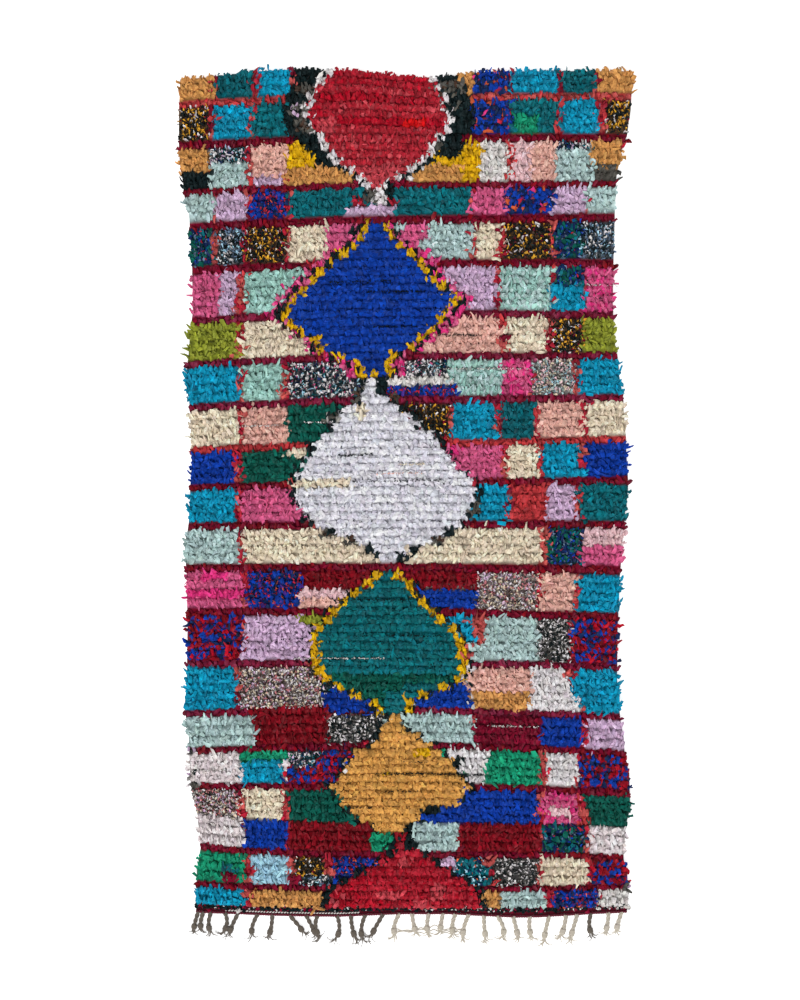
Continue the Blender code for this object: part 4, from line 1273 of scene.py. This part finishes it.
def makeTassels(tassels, threads, turn):
    # each is two twisted plies, a knot and a frayed end
    paths = []
    for one in tassels:
        top = float(endOf(one[0] / 1000)) - plan["seamGap"] - plan["headingWidth"] * tassel["rootAt"]
        line = tasselPath(one, top)
        knot = int(tassel["knotAt"] * (tassel["points"] - 1))
        turns = one[3] / 1000 * tassel["knotAt"] * tassel["turnsPerMetre"]
        paths += twistedPair(line[:knot + 2], tassel["plyOffset"], tassel["plyRadius"], turns,
                             tassel["flatness"], turn.uniform(0, 6))
        middle = line[knot - 1:knot + 4]
        fine = []
        for start, stop in zip(middle, middle[1:]):
            for share in (0, 0.25, 0.5, 0.75):
                x, y = (a + (b - a) * share for a, b in zip(start[:2], stop[:2]))
                fine.append((x, y, tassel["knotHeight"]))
        paths += twistedPair(fine, tassel["knotOffset"], tassel["knotRadius"], tassel["knotTurns"],
                             tassel["knotFlatness"], turn.uniform(0, 6))
        start = Vector(line[knot + 3])
        tail = Vector(line[-1]) - start
        paths += [makeThread(start, tail, turn) for thread in range(threads)]
    return paths


ties = {"tassels": 6, "count": 3, "down": 0.048, "apart": 0.007, "spread": 0.004, "sag": (-0.008, 0.012),
        "ripple": 0.0018, "low": 0.0045, "rise": 0.003, "points": 9, "radius": 0.0016}


def makeTies(turn):
    # loose ends that run from knot to knot where the pale tassels are tangled
    paths = []
    last = ties["points"] - 1
    knots = [(one[0] + 0.5 * one[2]) / 1000 for one in paleTassels[:ties["tassels"]]]
    for start, stop in zip(knots, knots[1:]):
        for tie in range(ties["count"]):
            y = float(endOf(start)) - ties["down"] - tie * ties["apart"]
            y = y + turn.uniform(-ties["spread"], ties["spread"])
            sag = turn.uniform(*ties["sag"])
            points = []
            for index in range(last + 1):
                share = index / last
                wave = math.sin(share * math.pi) * sag + math.sin(share * 9 + tie) * ties["ripple"]
                high = ties["low"] + ties["rise"] * math.sin(share * math.pi * 2) ** 2
                points.append((start + (stop - start) * share, y - wave, high))
            paths.append((points, [ties["radius"]] * (last + 1)))
    return paths


turn = random.Random(tassel["seed"])
left, right = (float(edge) for edge in edgesAt(plan["rows"]))
palest = heading["split"] + heading["splitGap"]
fringes = []
for name, tassels, start, stop, threads, material, slot in (
        ("fringe_dark", darkTassels, left, heading["split"], tassel["darkThreads"], darkWarp, "dark_warp"),
        ("fringe_pale", paleTassels, palest, right, tassel["paleThreads"], paleWarp, "pale_warp")):
    strands = makeTassels(tassels, threads, turn)
    if name == "fringe_pale":
        strands += makeTies(turn)
        stray = makeTubes("fringe_stray_tassel", makeTassels(strayTassels, tassel["darkThreads"], turn))
        fringes.append(keepPiece(stray, darkWarp, [name]))
    cord = makeTubes(name + "_heading", makeHeading(start, stop))
    tassels = makeTubes(name + "_tassels", strands)
    keepPiece(cord, makeYarnMaterial(name + "_heading_yarn", headingLook), [name])
    keepPiece(tassels, material, [name])
    fringes += [cord, tassels]
print("fringe ready")

pieces + [dashes, fuzz] + fringes

# The floor, the light and the camera straight above the rug.
studio = {"floorSize": 14, "floorDrop": 0.0005, "floor": 0.90, "floorRoughness": 0.9, "glow": 0.60,
          "world": 0.62, "sky": (0.98, 0.99, 1.0, 1.0),
          "sun": 1.75, "sunSize": math.radians(24), "sunTurn": (math.radians(28), math.radians(-18), 0),
          "height": 7.025, "lens": 84.0, "sensor": 36.0, "middle": (-0.0165, 0.0195)}
deselectAll()
bpy.ops.mesh.primitive_plane_add(size=studio["floorSize"], location=(0, 0, -studio["floorDrop"]))
floor = bpy.context.object
floor.name = "studio_floor"
bpy.ops.object.transform_apply(location=True, rotation=True, scale=True)
floorPaint = Shader("studio_floor")
floor.data.materials.append(floorPaint.finish(
    Base_Color=grey(studio["floor"]), Roughness=studio["floorRoughness"],
    Emission_Color=grey(1.0), Emission_Strength=studio["glow"]))
world = bpy.data.worlds.new("studio_light")
bpy.context.scene.world = world
world.use_nodes = True
background = world.node_tree.nodes["Background"]
background.inputs[0].default_value = studio["sky"]
background.inputs[1].default_value = studio["world"]
sunLight = bpy.data.lights.new("soft_sun", "SUN")
sunLight.energy = studio["sun"]
sunLight.angle = studio["sunSize"]
sun = bpy.data.objects.new("soft_sun", sunLight)
sun.rotation_euler = studio["sunTurn"]
bpy.context.scene.collection.objects.link(sun)
cameraData = bpy.data.cameras.new("camera")
cameraData.lens = studio["lens"]
cameraData.sensor_width = studio["sensor"]
camera = bpy.data.objects.new("camera", cameraData)
camera.location = (*studio["middle"], studio["height"])
bpy.context.scene.collection.objects.link(camera)
bpy.context.scene.camera = camera
bpy.context.scene.view_settings.view_transform = "Standard"

print("studio ready")
